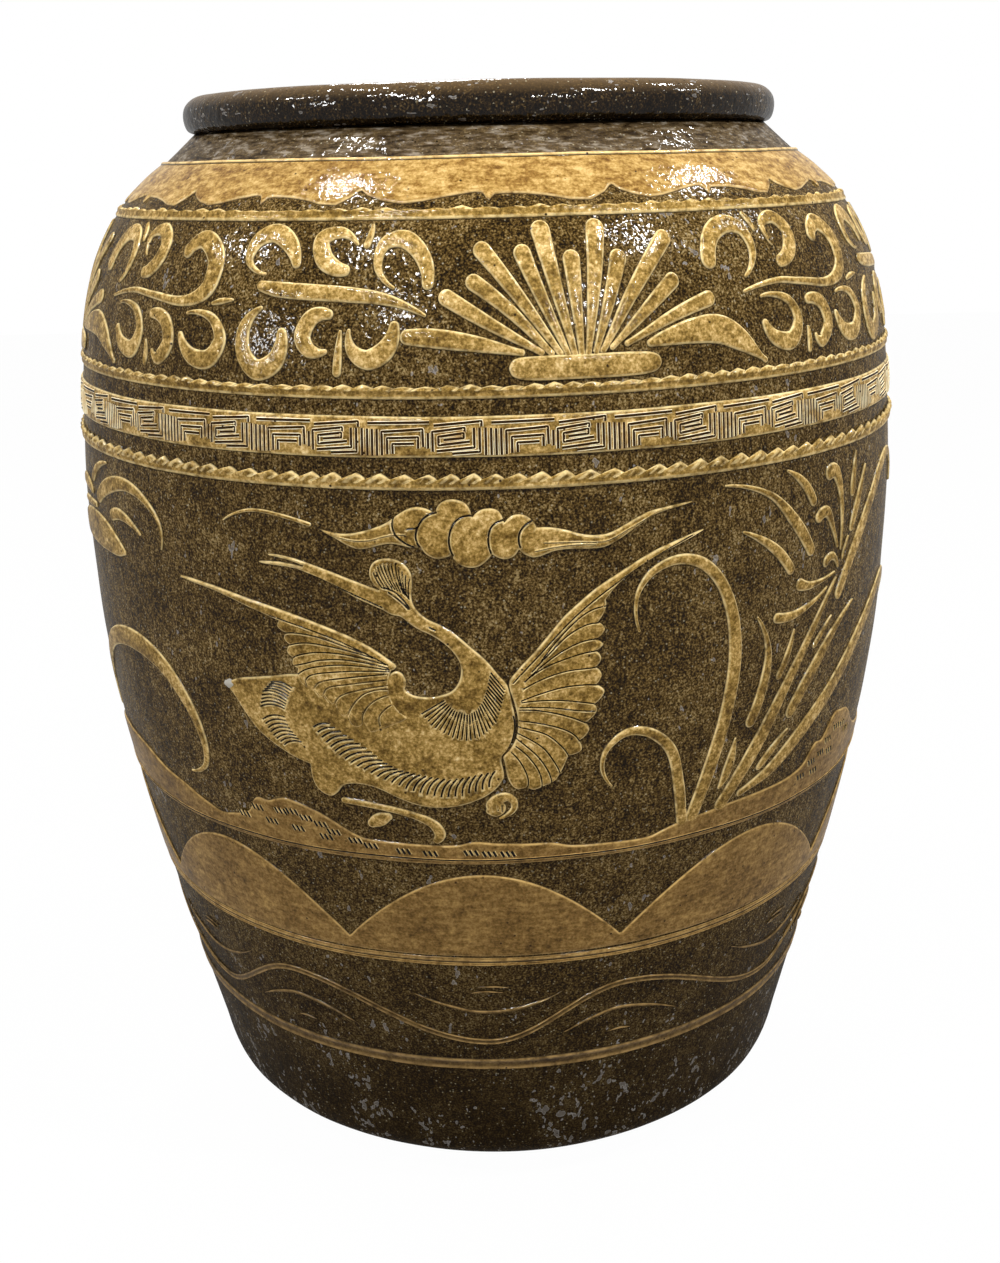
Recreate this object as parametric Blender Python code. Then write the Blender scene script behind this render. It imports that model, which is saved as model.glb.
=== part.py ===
# Large glazed stoneware storage jar with applied relief.
# Metres, +Z up. The origin is the middle of the foot, on the floor, and -Y is the front.
# The wall is five luted sections on a base slab, with a neck and a rolled lip. The relief is
# cut from thin clay or rolled into strokes and laid on the wall.

import math

import bmesh
import bpy
from mathutils import Matrix, Vector, geometry

# Overall body, outside of the wall, from the floor up
foot_radius = 0.202
heel_radius = 0.241
heel_height = 0.032
belly_radius = 0.3174
belly_rise = 0.482
neck_root_radius = 0.2374
shoulder_rise = 0.2398
neck_radius = 0.2145
neck_rise = 0.0202

wall_thickness = 0.010
base_thickness = 0.012
seam_gap = 0.0003

# Rolled lip, and how far it stands out past the neck
lip_overhang = 0.0075
lip_width = 0.0235
lip_height = 0.0257

# Ornament lines, each as a rise over the one before. The first is over the heel.
wave_border_rise = 0.0845
wave_mean_rise = 0.0495
hill_border_rise = 0.0490
ground_line_rise = 0.0870

# The bands over the belly, each as a rise over the one before
lower_cordon_rise = 0.0462
meander_rise = 0.0196
middle_cordon_rise = 0.0352

# Lines under the neck's root, as drops from it
upper_cordon_drop = 0.0358
collar_nib_drop = 0.0270

# Seam under the hills, over the foot of their border
lower_seam_rise = 0.0140

# Widths of the bands, measured up the wall
wave_border_line_width = 0.0040
wave_border_pitch = 0.0080
wave_line_width = 0.0055
hill_border_width = 0.0076
lower_cordon_width = 0.0115
meander_width = 0.0256
middle_cordon_width = 0.0080
upper_cordon_width = 0.0095

# Sizes that follow
lip_radius = neck_radius + lip_overhang
belly_height = heel_height + belly_rise
neck_root_height = belly_height + shoulder_rise
lip_seat_height = neck_root_height + neck_rise
wave_border_height = heel_height + wave_border_rise
wave_mean_height = wave_border_height + wave_mean_rise
hill_border_height = wave_mean_height + hill_border_rise
ground_height = hill_border_height + ground_line_rise
lower_cordon_height = belly_height + lower_cordon_rise
meander_height = lower_cordon_height + meander_rise
middle_cordon_height = meander_height + middle_cordon_rise
upper_cordon_height = neck_root_height - upper_cordon_drop
collar_nib_height = neck_root_height - collar_nib_drop
lower_seam_height = hill_border_height + lower_seam_rise

# How far the relief stands off the wall
relief_lift = 0.00045
stroke_sink = 0.0012
band_lift = 0.0005
plate_thickness = 0.0026
stroke_height = 0.0036
band_thickness = 0.0024
cordon_thickness = 0.0045
line_thickness = 0.0016
cut_clearance = 0.0005
plate_step = 0.022
fill_margin = 0.0073
weld_distance = 0.000005

# Waves and hills
wave_amplitude = 0.0225
hill_skirt = 0.0105
hill_gap = 0.0008
hill_clearance = 0.0087

# Starts of the running patterns, as shares of the girth from the front
wave_start_share = -0.0908
collar_start_share = -0.1166
hill_start_share = -0.1645

# Frames of the pictures: start, rise, width and height. Widths are shares of half the girth, and
# heights shares of the field from the ground line to the lower cordon.
crane_frame_shares = (-0.2307, 0.1335, 0.3811, 0.7328)
cloud_frame_shares = (-0.1905, 0.7814, 0.3209, 0.2468)
reed_frame_shares = (0.0602, 0.0100, 0.3851, 0.9874)
leaf_frame_shares = (-0.4011, 0.0100, 0.1926, 0.9874)
ground_frame_shares = (-0.3811, 0.0, 1.0, 0.2222)

# Frames of the frieze, in shares of a tile and of the field between its cordons
tuft_frame_shares = (-0.1203, -0.0119, 1.0, 0.9917)
scroll_frame_shares = (0.2379, -0.0119, 1.0, 0.9917)

# Counts
wall_columns = 60
rim_columns = 48
sides = 2
frieze_tiles = 4
collar_brackets = 12
hill_steps = 10
wave_count = 7
wave_steps = 9
arc_steps = 1600

# Glaze and clay colours, linear, with roughness
brown_glaze = ("brown_glaze", (0.045, 0.030, 0.015), 0.28)
ochre_glaze = ("ochre_glaze", (0.36, 0.20, 0.055), 0.32)
amber_glaze = ("amber_glaze", (0.45, 0.22, 0.045), 0.30)
bare_clay = ("bare_clay", (0.30, 0.21, 0.13), 0.85)

# Wall curve. Each pair is the way up and the way out between two of the sizes above.
flank_shares = ((0.064, 0.105), (0.18, 0.275), (0.344, 0.51), (0.508, 0.72), (0.672, 0.89), (0.836, 0.982))
shoulder_shares = ((0.2625, 0.0425), (0.496, 0.1175), (0.692, 0.2675), (0.858, 0.53), (0.955, 0.82))
toe_shares = ((0.375, 0.40),)
foot_ring_shares = (0.0, 0.19, 0.49, 1.0)
lower_ring_shares = (0.0, 0.49, 1.0)
belly_ring_shares = (0.0, 0.18, 0.36, 0.52, 0.66, 0.79, 0.90, 1.0)
shoulder_ring_shares = (0.0, 0.30, 0.56, 0.78, 0.96, 1.0)
collar_ring_shares = (0.0, 0.55, 1.0)
inner_ring_shares = (1.0, 0.66, 0.33, 0.0)
neck_ring_shares = (0.0, 0.45, 0.8, 1.0)
lip_section_shares = (
    (0.26, 0.0), (0.68, 0.0), (0.90, 0.10), (1.0, 0.42), (0.94, 0.72), (0.70, 0.94),
    (0.40, 1.0), (0.11, 0.88), (0.0, 0.58), (0.06, 0.22))

# Crowns of the bands, as ways up the strap and parts of its thickness
flat_crown_shares = ((0.0, 1.0), (1.0, 1.0))
cord_crown_shares = ((0.12, 0.72), (0.5, 1.0), (0.88, 0.72))
ridge_crown_shares = ((0.5, 1.0),)

# Rows of points across the straps
line_across_shares = (0.0, 1.0)
hill_across_shares = (0.0, 0.5, 1.0)
collar_across_shares = (0.0, 0.42, 0.75, 1.0)

# Height of a stroke against its width, and the round end of a stroke that starts broad
crest_share = 0.6
head_least_share = 0.4
head_reach_share = 0.42
head_width_share = 0.45

# Wave line: the share of each wave that falls, and the widths of the hills round the girth
wave_fall_share = 0.6
hill_width_shares = (0.105, 0.107, 0.114, 0.1123, 0.1123, 0.1123, 0.1123, 0.1123, 0.1123)

# Lower edge of the collar in one bracket: the way along it, and the way up from its nib
collar_edge_shares = (
    (0.0, 1.0), (0.09, 0.50), (0.20, 0.37), (0.38, 0.48), (0.475, 0.0), (0.57, 0.68), (0.64, 0.76),
    (0.83, 0.48))
collar_cusp_height = 0.0160

# Crane, on a grid of 100 shares across and 50 up
crane_grid_shares = (100.0, 50.0)
crane_body_shares = (
    (10, 22.3), (13, 24), (17, 24.9), (21, 25.7), (25.5, 26.6), (42, 27.6), (44.2, 28.6), (45.3, 28.2),
    (46, 26.8), (45.7, 25.4), (47, 24.4), (49.5, 24.1), (51.5, 24.4), (53.5, 25.2), (54.6, 26.6),
    (55.1, 28.2), (55, 30), (54, 31.9), (52.5, 33.5), (50.3, 35), (48.5, 35.8), (47, 36.8), (45.5, 38),
    (44, 38.3), (42, 39.3), (38.5, 40.7), (34.5, 42.7), (30.5, 44.3), (27, 45.3), (20, 45.7), (20, 46.1),
    (24, 46.4), (28.6, 45.9), (26, 46.6), (22, 47.1), (22.2, 47.6), (26, 47.4), (30, 46.5), (35, 45),
    (39.5, 43.5), (42, 42.7), (41.2, 43.3), (40.5, 44.6), (40.5, 46.1), (41.2, 47.3), (42.6, 48),
    (44.2, 48.1), (45.9, 47.6), (47.2, 46.4), (47.8, 44.8), (47.6, 41.2), (48.2, 39.6), (49.8, 38),
    (52, 36.9), (54.5, 35.3), (57, 33), (59.5, 30.6), (61.5, 28), (63, 26), (63.8, 22.5), (64.3, 19.5),
    (64, 16.5), (63, 14.2), (61.8, 12.6), (62.2, 9), (61.3, 7.2), (60, 5.8), (58, 4.5), (55, 3.3),
    (52, 2.7), (49, 2.6), (46, 3.1), (43, 4.2), (40, 5.6), (37.5, 6.3), (35, 6.4), (33, 5.9),
    (31.5, 4.2), (30.2, 3.4), (28.5, 3.8), (27.2, 5.1), (26.6, 7), (26.6, 9.4), (22, 11), (17, 14),
    (14.5, 16.7), (12, 20.3))
crane_left_wing_shares = (
    (1.2, 41.2), (10, 40.5), (18, 39.1), (26, 37.5), (34, 35.2), (37.5, 33.9), (40.5, 32.4), (43, 30.7),
    (44.5, 29.4), (43.7, 28.3), (43.1, 26.5), (43.3, 24), (44.4, 21.7), (46.1, 20.1), (42.1, 17.9),
    (40, 17), (38.9, 16.9), (38.1, 18.4), (36.8, 17.6), (35.6, 18), (35, 19.7), (33.9, 19.5),
    (33.1, 20.3), (32.9, 21.6), (31.7, 21.7), (30.9, 22.8), (29.7, 22.7), (29, 24.1), (27.9, 24.1),
    (26.3, 25.6), (26.3, 27.6), (25.3, 28.3), (25.6, 29.5), (24.4, 30.4), (25, 31.8), (24, 32.8),
    (24.4, 33.8), (22.8, 34.8), (23.2, 35.8), (18, 37.3), (10, 39.4), (1.2, 40.6))
crane_right_wing_shares = (
    (63.1, 26.4), (64.5, 28.6), (67, 31.3), (69.5, 34.2), (72, 37.2), (74.5, 39.5), (78, 42.2),
    (82, 44.5), (86, 46.6), (90, 48.2), (97.5, 50.2), (97.5, 49.8), (90, 46.9), (86, 45.1), (82.5, 42.9),
    (79.7, 39.9), (79.7, 38.4), (78.4, 36.2), (79.6, 34.8), (78, 33.2), (79.3, 32.2), (78, 31.2),
    (79, 29.8), (78, 28.3), (79.1, 26.8), (78, 25.1), (79.6, 23.8), (77.8, 21.6), (78.3, 20.2),
    (76.3, 18.3), (77, 16.8), (75.2, 15), (75.7, 13.1), (73.4, 12.3), (72.9, 10.9), (72, 9), (71, 7.5),
    (69, 6.6), (67.2, 6), (66, 6.6), (64, 6.4), (62.7, 8.3), (62.1, 11.6), (61.9, 12.8), (63.1, 14.2),
    (64.2, 16.5), (64.5, 19.5), (64, 22.5))
crane_leg_shares = (
    (32.6, 2.9, 0.9), (41.4, 1.9, 1.0), (45.6, 0.9, 1.1), (48.9, -0.6, 1.4), (50.2, -2.6, 1.6),
    (49.6, -4.0, 1.2))
crane_foot_shares = (
    (60, 3.2, 2.2), (61.2, 4.5, 1.8), (62.8, 4.8, 1.4), (63.8, 3.6, 1.2), (63.4, 2, 1.0), (61.2, 0.6, 0.4))
pebble_shares = ((37.6, -1.3, 1.4), (39.2, -0.4, 2.0), (40.8, 0.3, 1.2))

# Cloud, on a grid of 100 shares across and 20 up
cloud_grid_shares = (100.0, 20.0)
cloud_body_shares = (
    (24.4, 10.2), (28, 9.4), (31, 9.2), (34, 9.7), (37, 10.6), (39.5, 11.7), (41, 12.8), (43.5, 14.3),
    (45.5, 14.8), (47.5, 14.4), (49, 13.6), (49.8, 15.3), (51.5, 16.2), (53.5, 16.1), (55.2, 15.2),
    (56.2, 12.8), (57.5, 14), (59.5, 14.4), (61.3, 13.8), (62.3, 11.6), (63.8, 12.9), (65.8, 13),
    (67.5, 12), (68.5, 10.4), (71, 10.3), (74, 9.7), (77, 8.7), (80, 8.2), (83, 8.5), (86, 9.8),
    (89, 11.2), (92, 12.1), (101, 13), (101, 12.6), (93, 11.1), (90, 9.7), (87, 8), (84, 6.3), (81, 5.4),
    (75, 5.6), (72, 5.4), (68, 4.3), (66, 5), (65, 6), (63.8, 4.6), (62, 4.2), (59.8, 5.2), (58.6, 3.8),
    (57, 2.8), (55, 2.7), (53, 3.6), (52, 5.2), (50.5, 4.6), (48.8, 4.5), (47, 5.4), (46, 6.8),
    (44.5, 6.6), (40, 7.3), (34, 6), (31.5, 6.6), (29.5, 7.6), (27, 8.8))
cloud_tail_shares = ((23.4, 10.5, 1.0), (15, 12.2, 0.9), (10, 12.4, 0.8), (6, 11.4, 0.7), (3, 9.8, 0.4))

# Reeds, leaf strokes and flower heads right of the crane, on a grid of 120 shares across and 80 up
reed_grid_shares = (120.0, 80.0)
reed_shares = (
    ("small_reed", ((23.4, 6.6, 2.6), (22, 14, 2.6), (19.4, 22.6, 2.4), (14.4, 27.4, 2.1), (9, 28.4, 1.7),
                    (4.6, 25, 1.2), (3.8, 20.6, 0.9), (6, 16.4, 0.4))),
    ("tall_reed", ((26.9, 7.2, 3.2), (29.6, 16, 3.4), (32.6, 28, 3.3), (34, 41, 3.2), (32.8, 50.6, 2.9),
                   (29.4, 58.2, 2.5), (24.4, 62.8, 2.3), (18.6, 63.9, 1.9), (13.2, 61.6, 1.5),
                   (10.4, 57, 0.9), (11, 50.2, 0.5))),
    ("flower_stem", ((35.2, 7.9, 3.2), (43, 19, 3.8), (52, 33.5, 2.8), (61, 45.5, 1.8), (66.4, 51.6, 0.8))),
    ("long_reed", ((41.4, 8.4, 1.8), (48, 10.9, 3.0), (56, 16, 3.8), (72, 27, 4.2), (84.5, 36, 4.0),
                   (99, 43, 3.5), (109, 42.3, 3.0), (117, 36.5, 2.3), (121.5, 28, 1.6), (122.5, 17, 0.5))),
    ("upper_reed", ((68.3, 47.8, 2.8), (75, 56.4, 3.5), (84.5, 66, 3.6), (95, 72.8, 3.0), (104, 73.3, 2.0),
                    (109.4, 69.3, 1.2), (111, 65, 0.5))))
spray_shares = (
    ((33, 10.8, 1.0), (34.9, 15.2, 2.6), (36, 21.8, 0.5)),
    ((44.4, 12.8, 1.6), (48.2, 16.2, 2.1), (52.6, 19.8, 0.5)),
    ((40, 25, 2.8), (42.8, 33, 2.7), (43.3, 41, 1.8), (39.7, 48.5, 0.5)),
    ((47.4, 33.8, 1.8), (49.8, 38.4, 1.7), (51.2, 43.4, 0.5)),
    ((53, 24, 3.0), (59.6, 32, 3.6), (67, 39, 2.4), (76, 44.4, 0.5)),
    ((59.4, 37.9, 1.4), (62, 40.1, 1.6), (65.6, 43.2, 0.5)),
    ((45.5, 47.2, 2.2), (51, 46.8, 1.9), (58, 48.4, 1.1), (62.6, 50.4, 0.5)),
    ((52.4, 53.2, 2.6), (57, 52.2, 1.6), (65.6, 53.2, 0.5)),
    ((61.8, 56.2, 2.2), (64.6, 57, 1.8), (66.9, 54.2, 0.6)),
    ((58.3, 66.8, 2.6), (61.4, 67.3, 2.4), (64, 63.4, 1.5), (66.2, 58.8, 0.6)),
    ((62.3, 75.6, 3.2), (65, 75.2, 3.0), (67.4, 69, 1.7), (67.8, 58, 0.6)),
    ((68.8, 55.6, 0.5), (69.8, 57.8, 0.7), (71.2, 60, 0.5)),
    ((72.6, 69.8, 2.2), (73.4, 74, 1.9), (74.4, 78.2, 0.5)),
    ((72.8, 61.8, 2.0), (76, 67.8, 2.4), (79.8, 74.4, 0.5)),
    ((56, 70.6, 2.2), (52.6, 75, 2.0), (47.5, 78.2, 0.5)),
    ((55.6, 60.2, 2.6), (49.6, 67.6, 2.7), (42, 74.2, 1.4), (30.5, 77.4, 0.4)),
    ((49, 57.2, 2.3), (43.5, 62.8, 2.1), (35, 67.4, 0.5)))

# Blades and leaves left of the crane, on a grid of 60 shares across and 80 up
leaf_grid_shares = (60.0, 80.0)
leaf_shares = (
    ("arching_blade", ((-7.5, 12.2, 2.0), (-3.4, 19.8, 2.6), (4, 28.5, 3.2), (13.4, 35, 3.8), (24, 38.6, 4.4),
                       (35, 39, 4.6), (44.4, 36, 4.1), (51.4, 29.2, 3.2), (54.8, 21, 2.2),
                       (53.8, 14.8, 1.5), (48, 11.8, 0.5))),
    ("broad_leaf", ((-3, 60.6, 4.0), (4, 61.5, 6.6), (12, 61.9, 7.5), (21, 61.5, 6.8), (28, 60.2, 4.2),
                    (32, 59.6, 1.2))))
small_leaf_shares = (
    ((18, 69.9, 3.0), (25, 73.4, 3.5), (34, 75.1, 2.8), (42, 73.6, 1.9), (48.4, 69, 0.9), (48.6, 63.4, 0.4)),
    ((26.6, 67.2, 2.6), (32.6, 67.9, 2.3), (40.6, 65.2, 0.5)),
    ((13.4, 73.6, 2.2), (18, 76.7, 1.7), (24.4, 78.4, 0.5)),
    ((1, 71.4, 2.6), (7, 71.2, 2.8), (11.4, 70.2, 1.8)),
    ((3, 67.0, 1.7), (9, 67.1, 1.9), (14.4, 67.3, 1.4)))

# Top edge of the ground, on a grid of 312 shares round half the girth and 18 up
ground_grid_shares = (312.0, 18.0)
ground_edge_shares = (
    (6, 12.7), (16, 12.3), (20, 11.7), (26, 10.1), (30, 9.1), (36, 8.1), (42, 6.3), (46, 5.1), (50, 4.3),
    (54, 5.1), (58, 6.3), (60, 7.7), (61.5, 10.3), (63, 11.3), (66, 11.1), (68, 11.9), (71, 12.6),
    (76, 11.5), (80, 10.1), (84, 7.9), (87, 6.3), (90, 5.3), (100, 4.9), (110, 4.9), (114, 5.8),
    (119, 5.4), (125, 5.1), (131, 4.9), (135, 3.9), (141, 3.5), (153, 3.2), (157, 4.3), (161, 5.3),
    (167, 6.1), (175, 6.9), (191, 7.3), (197, 8.1), (200, 9.3), (202, 11.7), (204, 13.3), (207, 13.1),
    (209, 15.1), (211, 17.3), (213, 18.3), (216, 17.9), (220, 17.1), (223, 15.3), (227, 12.1), (231, 9.7),
    (240, 7.2), (250, 5.7), (262, 5.2), (275, 6.1), (286, 7.7), (297, 10.3), (306, 12.1), (312, 12.9),
    (318, 12.7))

# Fan tuft of the shoulder frieze. A tile is 156 shares along and 34 up.
frieze_grid_shares = (155.8, 34.0)
tuft_boat_shares = (
    (23.2, 6), (24.2, 7.6), (27, 8.1), (40, 8.2), (51, 8.0), (53.6, 7.2), (54.2, 5.6), (53, 4.1),
    (50, 3.5), (38, 3.4), (27, 3.5), (24, 4.3))
tuft_blade_shares = (
    ((11.4, 19.2, 2.3), (20, 14.1, 1.7), (28.6, 9.3, 0.7)),
    ((16.8, 22.0, 2.3), (24, 16.4, 1.7), (30.8, 9.4, 0.7)),
    ((18.6, 28.2, 2.6), (25.7, 19.2, 1.8), (32.7, 9.4, 0.7)),
    ((26.9, 27.4, 2.6), (30.2, 19, 1.7), (34.4, 9.4, 0.7)),
    ((31.1, 32.0, 3.0), (33.0, 22, 2.0), (36, 9.4, 0.7)),
    ((37, 26, 2.6), (37.2, 18, 1.7), (37.6, 9.4, 0.7)),
    ((43, 32.0, 3.0), (41.2, 21, 2.0), (39.2, 9.4, 0.7)),
    ((47.0, 25.8, 2.6), (44.1, 18, 1.7), (40.9, 9.4, 0.7)),
    ((58.2, 29.4, 2.6), (49.4, 19.5, 2.0), (42.7, 9.6, 0.7)),
    ((58.3, 20.9, 2.3), (51.4, 15.4, 1.6), (44.9, 9.9, 0.6)),
    ((66.4, 17.0, 2.2), (57.5, 14.2, 1.6), (48.2, 10.1, 0.6)),
    ((3.6, 12, 2.0), (10, 11.6, 2.6), (18, 10.4, 2.0), (24.6, 9.0, 0.8)),
    ((52.0, 9.4, 0.9), (56.2, 10.3, 2.3), (62, 11.1, 3.6), (68, 11.0, 4.2), (73, 8.8, 3.4),
     (78.6, 4.9, 0.7)))

# Scrolls that follow the tuft, on the same grid
hook_stem_shares = (
    (103.8, 28.2, 2.4), (108, 30.7, 3.0), (113.2, 26.8, 3.5), (112.4, 20.8, 2.9), (106, 18, 1.7),
    (94, 18.8, 1.2), (86, 19.4, 1.0), (76, 17.8, 0.5))
scroll_near_shares = (
    ((68.2, 24.5, 2.8), (70.4, 29.4, 3.0), (75, 31.7, 3.0), (79.6, 30.4, 2.4), (80.8, 25.4, 1.6),
     (77.2, 20.8, 0.6)),
    ((88.8, 23.2, 2.0), (93, 25.4, 2.9), (94.4, 29.6, 3.0), (91, 32.6, 2.4), (86.6, 31.2, 1.5),
     (87.6, 26.8, 0.5)),
    ((80.6, 11.2, 1.4), (83.2, 8.2, 2.4), (88.2, 7.4, 2.8), (90.9, 11.4, 2.2), (88.2, 15.6, 1.5),
     (80.5, 16.6, 0.5)),
    ((95.4, 15.0, 1.6), (100.4, 13.8, 2.5), (102, 9.6, 2.7), (98.6, 6.2, 2.1), (96.6, 7.6, 0.7)),
    ((106, 11.2, 1.2), (109.4, 7.4, 2.5), (114.6, 7, 2.8), (117.5, 11, 2.4), (114.4, 15.1, 1.5),
     (107.5, 15.6, 0.5)))
scroll_far_shares = (
    ((78.8, 26, 1.6), (76.4, 30, 2.8), (72, 32.2, 3.0), (67.8, 30.4, 2.6), (67, 26.2, 1.4), (71.6, 23.8, 0.5)),
    ((90, 24.6, 1.8), (85.4, 26.6, 2.9), (84, 30.8, 2.7), (88.4, 32.2, 1.8), (92.2, 29.8, 0.6)),
    ((107.6, 21.9, 1.8), (106.6, 26.8, 2.5), (102.6, 30.7, 2.8), (98.2, 29.8, 2.1), (97.2, 25, 1.3),
     (100.6, 21.2, 0.5)),
    ((71, 21.5, 1.6), (76, 20.8, 2.3), (92, 19.9, 2.2), (100, 18.8, 1.6), (107, 16, 0.5)),
    ((77, 12.4, 1.8), (75.8, 7.4, 2.9), (71.4, 5.4, 3.0), (68, 8.6, 2.7), (68, 13.6, 2.2), (71.6, 17.2, 0.7)),
    ((87.2, 16.2, 1.6), (83.6, 15.6, 2.5), (81.7, 12, 2.7), (83.4, 9.4, 2.2), (86.8, 9.2, 0.8)),
    ((101, 14, 1.6), (99.4, 9.8, 2.8), (95.6, 7.8, 2.8), (92.4, 9.6, 1.9), (91.7, 13.2, 0.6)))


# Wall curve

def flank_points():
    # Outside of the wall from the floor to the lip's seat, as height and radius
    points = [(0.0, foot_radius)]
    for up, out in toe_shares:
        points.append((heel_height * up, foot_radius + (heel_radius - foot_radius) * out))
    points.append((heel_height, heel_radius))
    for up, out in flank_shares:
        points.append((heel_height + (belly_height - heel_height) * up,
                       heel_radius + (belly_radius - heel_radius) * out))
    points.append((belly_height, belly_radius))
    for up, out in shoulder_shares:
        points.append((belly_height + (neck_root_height - belly_height) * up,
                       belly_radius - (belly_radius - neck_root_radius) * out))
    points.append((neck_root_height, neck_root_radius))
    points.append((lip_seat_height, neck_radius))
    return points


def tangents(points):
    # Slopes at the points that keep the curve free of bumps between them
    steps = [(b[1] - a[1]) / (b[0] - a[0]) for a, b in zip(points, points[1:])]
    slopes = [steps[0]]
    for before, after in zip(steps, steps[1:]):
        product = before * after
        slopes.append(2 * product / (before + after) if product > 0 else 0.0)
    slopes.append(steps[-1])
    return slopes


wall_points = flank_points()
wall_slopes = tangents(wall_points)


def radius_at(height):
    # Outer radius of the wall at a height
    height = min(max(height, wall_points[0][0]), wall_points[-1][0])
    index = 0
    while index < len(wall_points) - 2 and height > wall_points[index + 1][0]:
        index += 1
    (low, start), (high, end) = wall_points[index], wall_points[index + 1]
    span = high - low
    t = (height - low) / span
    rise = span * (wall_slopes[index] * (t ** 3 - 2 * t ** 2 + t) + wall_slopes[index + 1] * (t ** 3 - t ** 2))
    return start * (2 * t ** 3 - 3 * t ** 2 + 1) + end * (3 * t ** 2 - 2 * t ** 3) + rise


def arc_lengths():
    # Lengths up the wall from the floor at evenly spaced heights
    heights = [lip_seat_height * i / arc_steps for i in range(arc_steps + 1)]
    radii = [radius_at(h) for h in heights]
    arcs = [0.0]
    for i in range(arc_steps):
        arcs.append(arcs[-1] + math.hypot(heights[i + 1] - heights[i], radii[i + 1] - radii[i]))
    return arcs


wall_arcs = arc_lengths()


def arc_at(height):
    place = height / lip_seat_height * arc_steps
    index = min(int(place), arc_steps - 1)
    return wall_arcs[index] + (wall_arcs[index + 1] - wall_arcs[index]) * (place - index)


def height_at(arc):
    low, high = 0, arc_steps
    while high - low > 1:
        middle = (low + high) // 2
        if wall_arcs[middle] > arc:
            high = middle
        else:
            low = middle
    part = (arc - wall_arcs[low]) / (wall_arcs[high] - wall_arcs[low])
    return lip_seat_height * (low + part) / arc_steps


def wall_normal(height):
    # Outward direction of the wall, as its parts along the radius and upwards
    probe = lip_seat_height / arc_steps
    slope = (radius_at(height + probe) - radius_at(height - probe)) / (2 * probe)
    size = math.hypot(1.0, slope)
    return 1.0 / size, -slope / size


belly_girth = 2 * math.pi * belly_radius


def on_wall(girth, arc, lift):
    # Point over the wall: girth is the way round at the belly, arc the way up the wall
    height = height_at(arc)
    out, up = wall_normal(height)
    radius = radius_at(height) + lift * out
    turn = girth / belly_radius
    return Vector((radius * math.sin(turn), -radius * math.cos(turn), height + lift * up))


# Materials and nodes

def glaze(finish):
    name, colour, roughness = finish
    material = bpy.data.materials.get(name)
    if material is None:
        material = bpy.data.materials.new(name)
        material.use_nodes = True
        shader = material.node_tree.nodes["Principled BSDF"]
        shader.inputs["Base Color"].default_value = (*colour, 1.0)
        shader.inputs["Roughness"].default_value = roughness
        shader.inputs["Metallic"].default_value = 0.0
    return material


def add_mesh(name, bm, finish):
    # Makes a named object of a finished mesh, smooth where its faces meet at a low angle
    bmesh.ops.recalc_face_normals(bm, faces=bm.faces)
    mesh = bpy.data.meshes.new(name)
    bm.to_mesh(mesh)
    bm.free()
    mesh.materials.append(glaze(finish))
    mesh.shade_smooth()
    mesh.set_sharp_from_angle(angle=math.radians(35))
    node = bpy.data.objects.new(name, mesh)
    bpy.context.scene.collection.objects.link(node)


def turned(name, section, columns, finish):
    # Ring or disc turned round the axis from its section, a list of radius and height
    bm = bmesh.new()
    corners = [bm.verts.new((radius, 0.0, height)) for radius, height in section]
    edges = [bm.edges.new((a, b)) for a, b in zip(corners, corners[1:] + corners[:1])]
    bmesh.ops.spin(bm, geom=corners + edges, cent=(0, 0, 0), axis=(0, 0, 1), angle=2 * math.pi,
                   steps=columns, use_merge=True)
    add_mesh(name, bm, finish)


# Body

def wall_section(name, low, high, ring_shares):
    # Length of wall between two seams, as thick as the wall all the way up
    outer = [low + (high - low) * share for share in ring_shares]
    inner = [low + (high - low) * share for share in inner_ring_shares]
    section = [(radius_at(h), h) for h in outer]
    section += [(radius_at(h) - wall_thickness / wall_normal(h)[0], h) for h in inner]
    turned(name, section, wall_columns, brown_glaze)


def base_slab():
    bm = bmesh.new()
    place = Matrix.Translation((0, 0, base_thickness / 2))
    bmesh.ops.create_cone(bm, cap_ends=True, segments=wall_columns, radius1=foot_radius,
                          radius2=radius_at(base_thickness), depth=base_thickness, matrix=place)
    add_mesh("base_slab", bm, bare_clay)


def lip():
    # Rolled lip, seated on the neck
    seat = lip_seat_height + seam_gap
    section = [(lip_radius - lip_width * (1 - out), seat + lip_height * up) for out, up in lip_section_shares]
    turned("rolled_lip", section, rim_columns, brown_glaze)


def body():
    # The foot, belly and collar seams lie behind the middle of a band
    foot_seam = height_at(arc_at(wave_border_height) + wave_border_line_width / 2)
    belly_seam = height_at(arc_at(lower_cordon_height) + lower_cordon_width / 2)
    collar_seam = height_at(arc_at(upper_cordon_height) + upper_cordon_width / 2)
    base_slab()
    wall_section("foot_wall", base_thickness + seam_gap, foot_seam, foot_ring_shares)
    wall_section("lower_wall", foot_seam + seam_gap, lower_seam_height, lower_ring_shares)
    wall_section("belly_wall", lower_seam_height + seam_gap, belly_seam, belly_ring_shares)
    wall_section("shoulder_wall", belly_seam + seam_gap, collar_seam, shoulder_ring_shares)
    wall_section("collar_wall", collar_seam + seam_gap, neck_root_height, collar_ring_shares)
    wall_section("neck_ring", neck_root_height + seam_gap, lip_seat_height, neck_ring_shares)
    lip()


# Bands that run round the girth

def over_section(arc, lift):
    point = on_wall(0.0, arc, lift)
    return -point.y, point.z


def band(name, height, width, crown_shares, thickness, finish):
    # Strap or cord round the wall. A crown share is a way up the strap and a part of its thickness.
    foot = arc_at(height)
    section = [over_section(foot, band_lift)]
    section += [over_section(foot + width * up, band_lift + thickness * out) for up, out in crown_shares]
    section.append(over_section(foot + width, band_lift))
    turned(name, section, wall_columns, finish)


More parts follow.
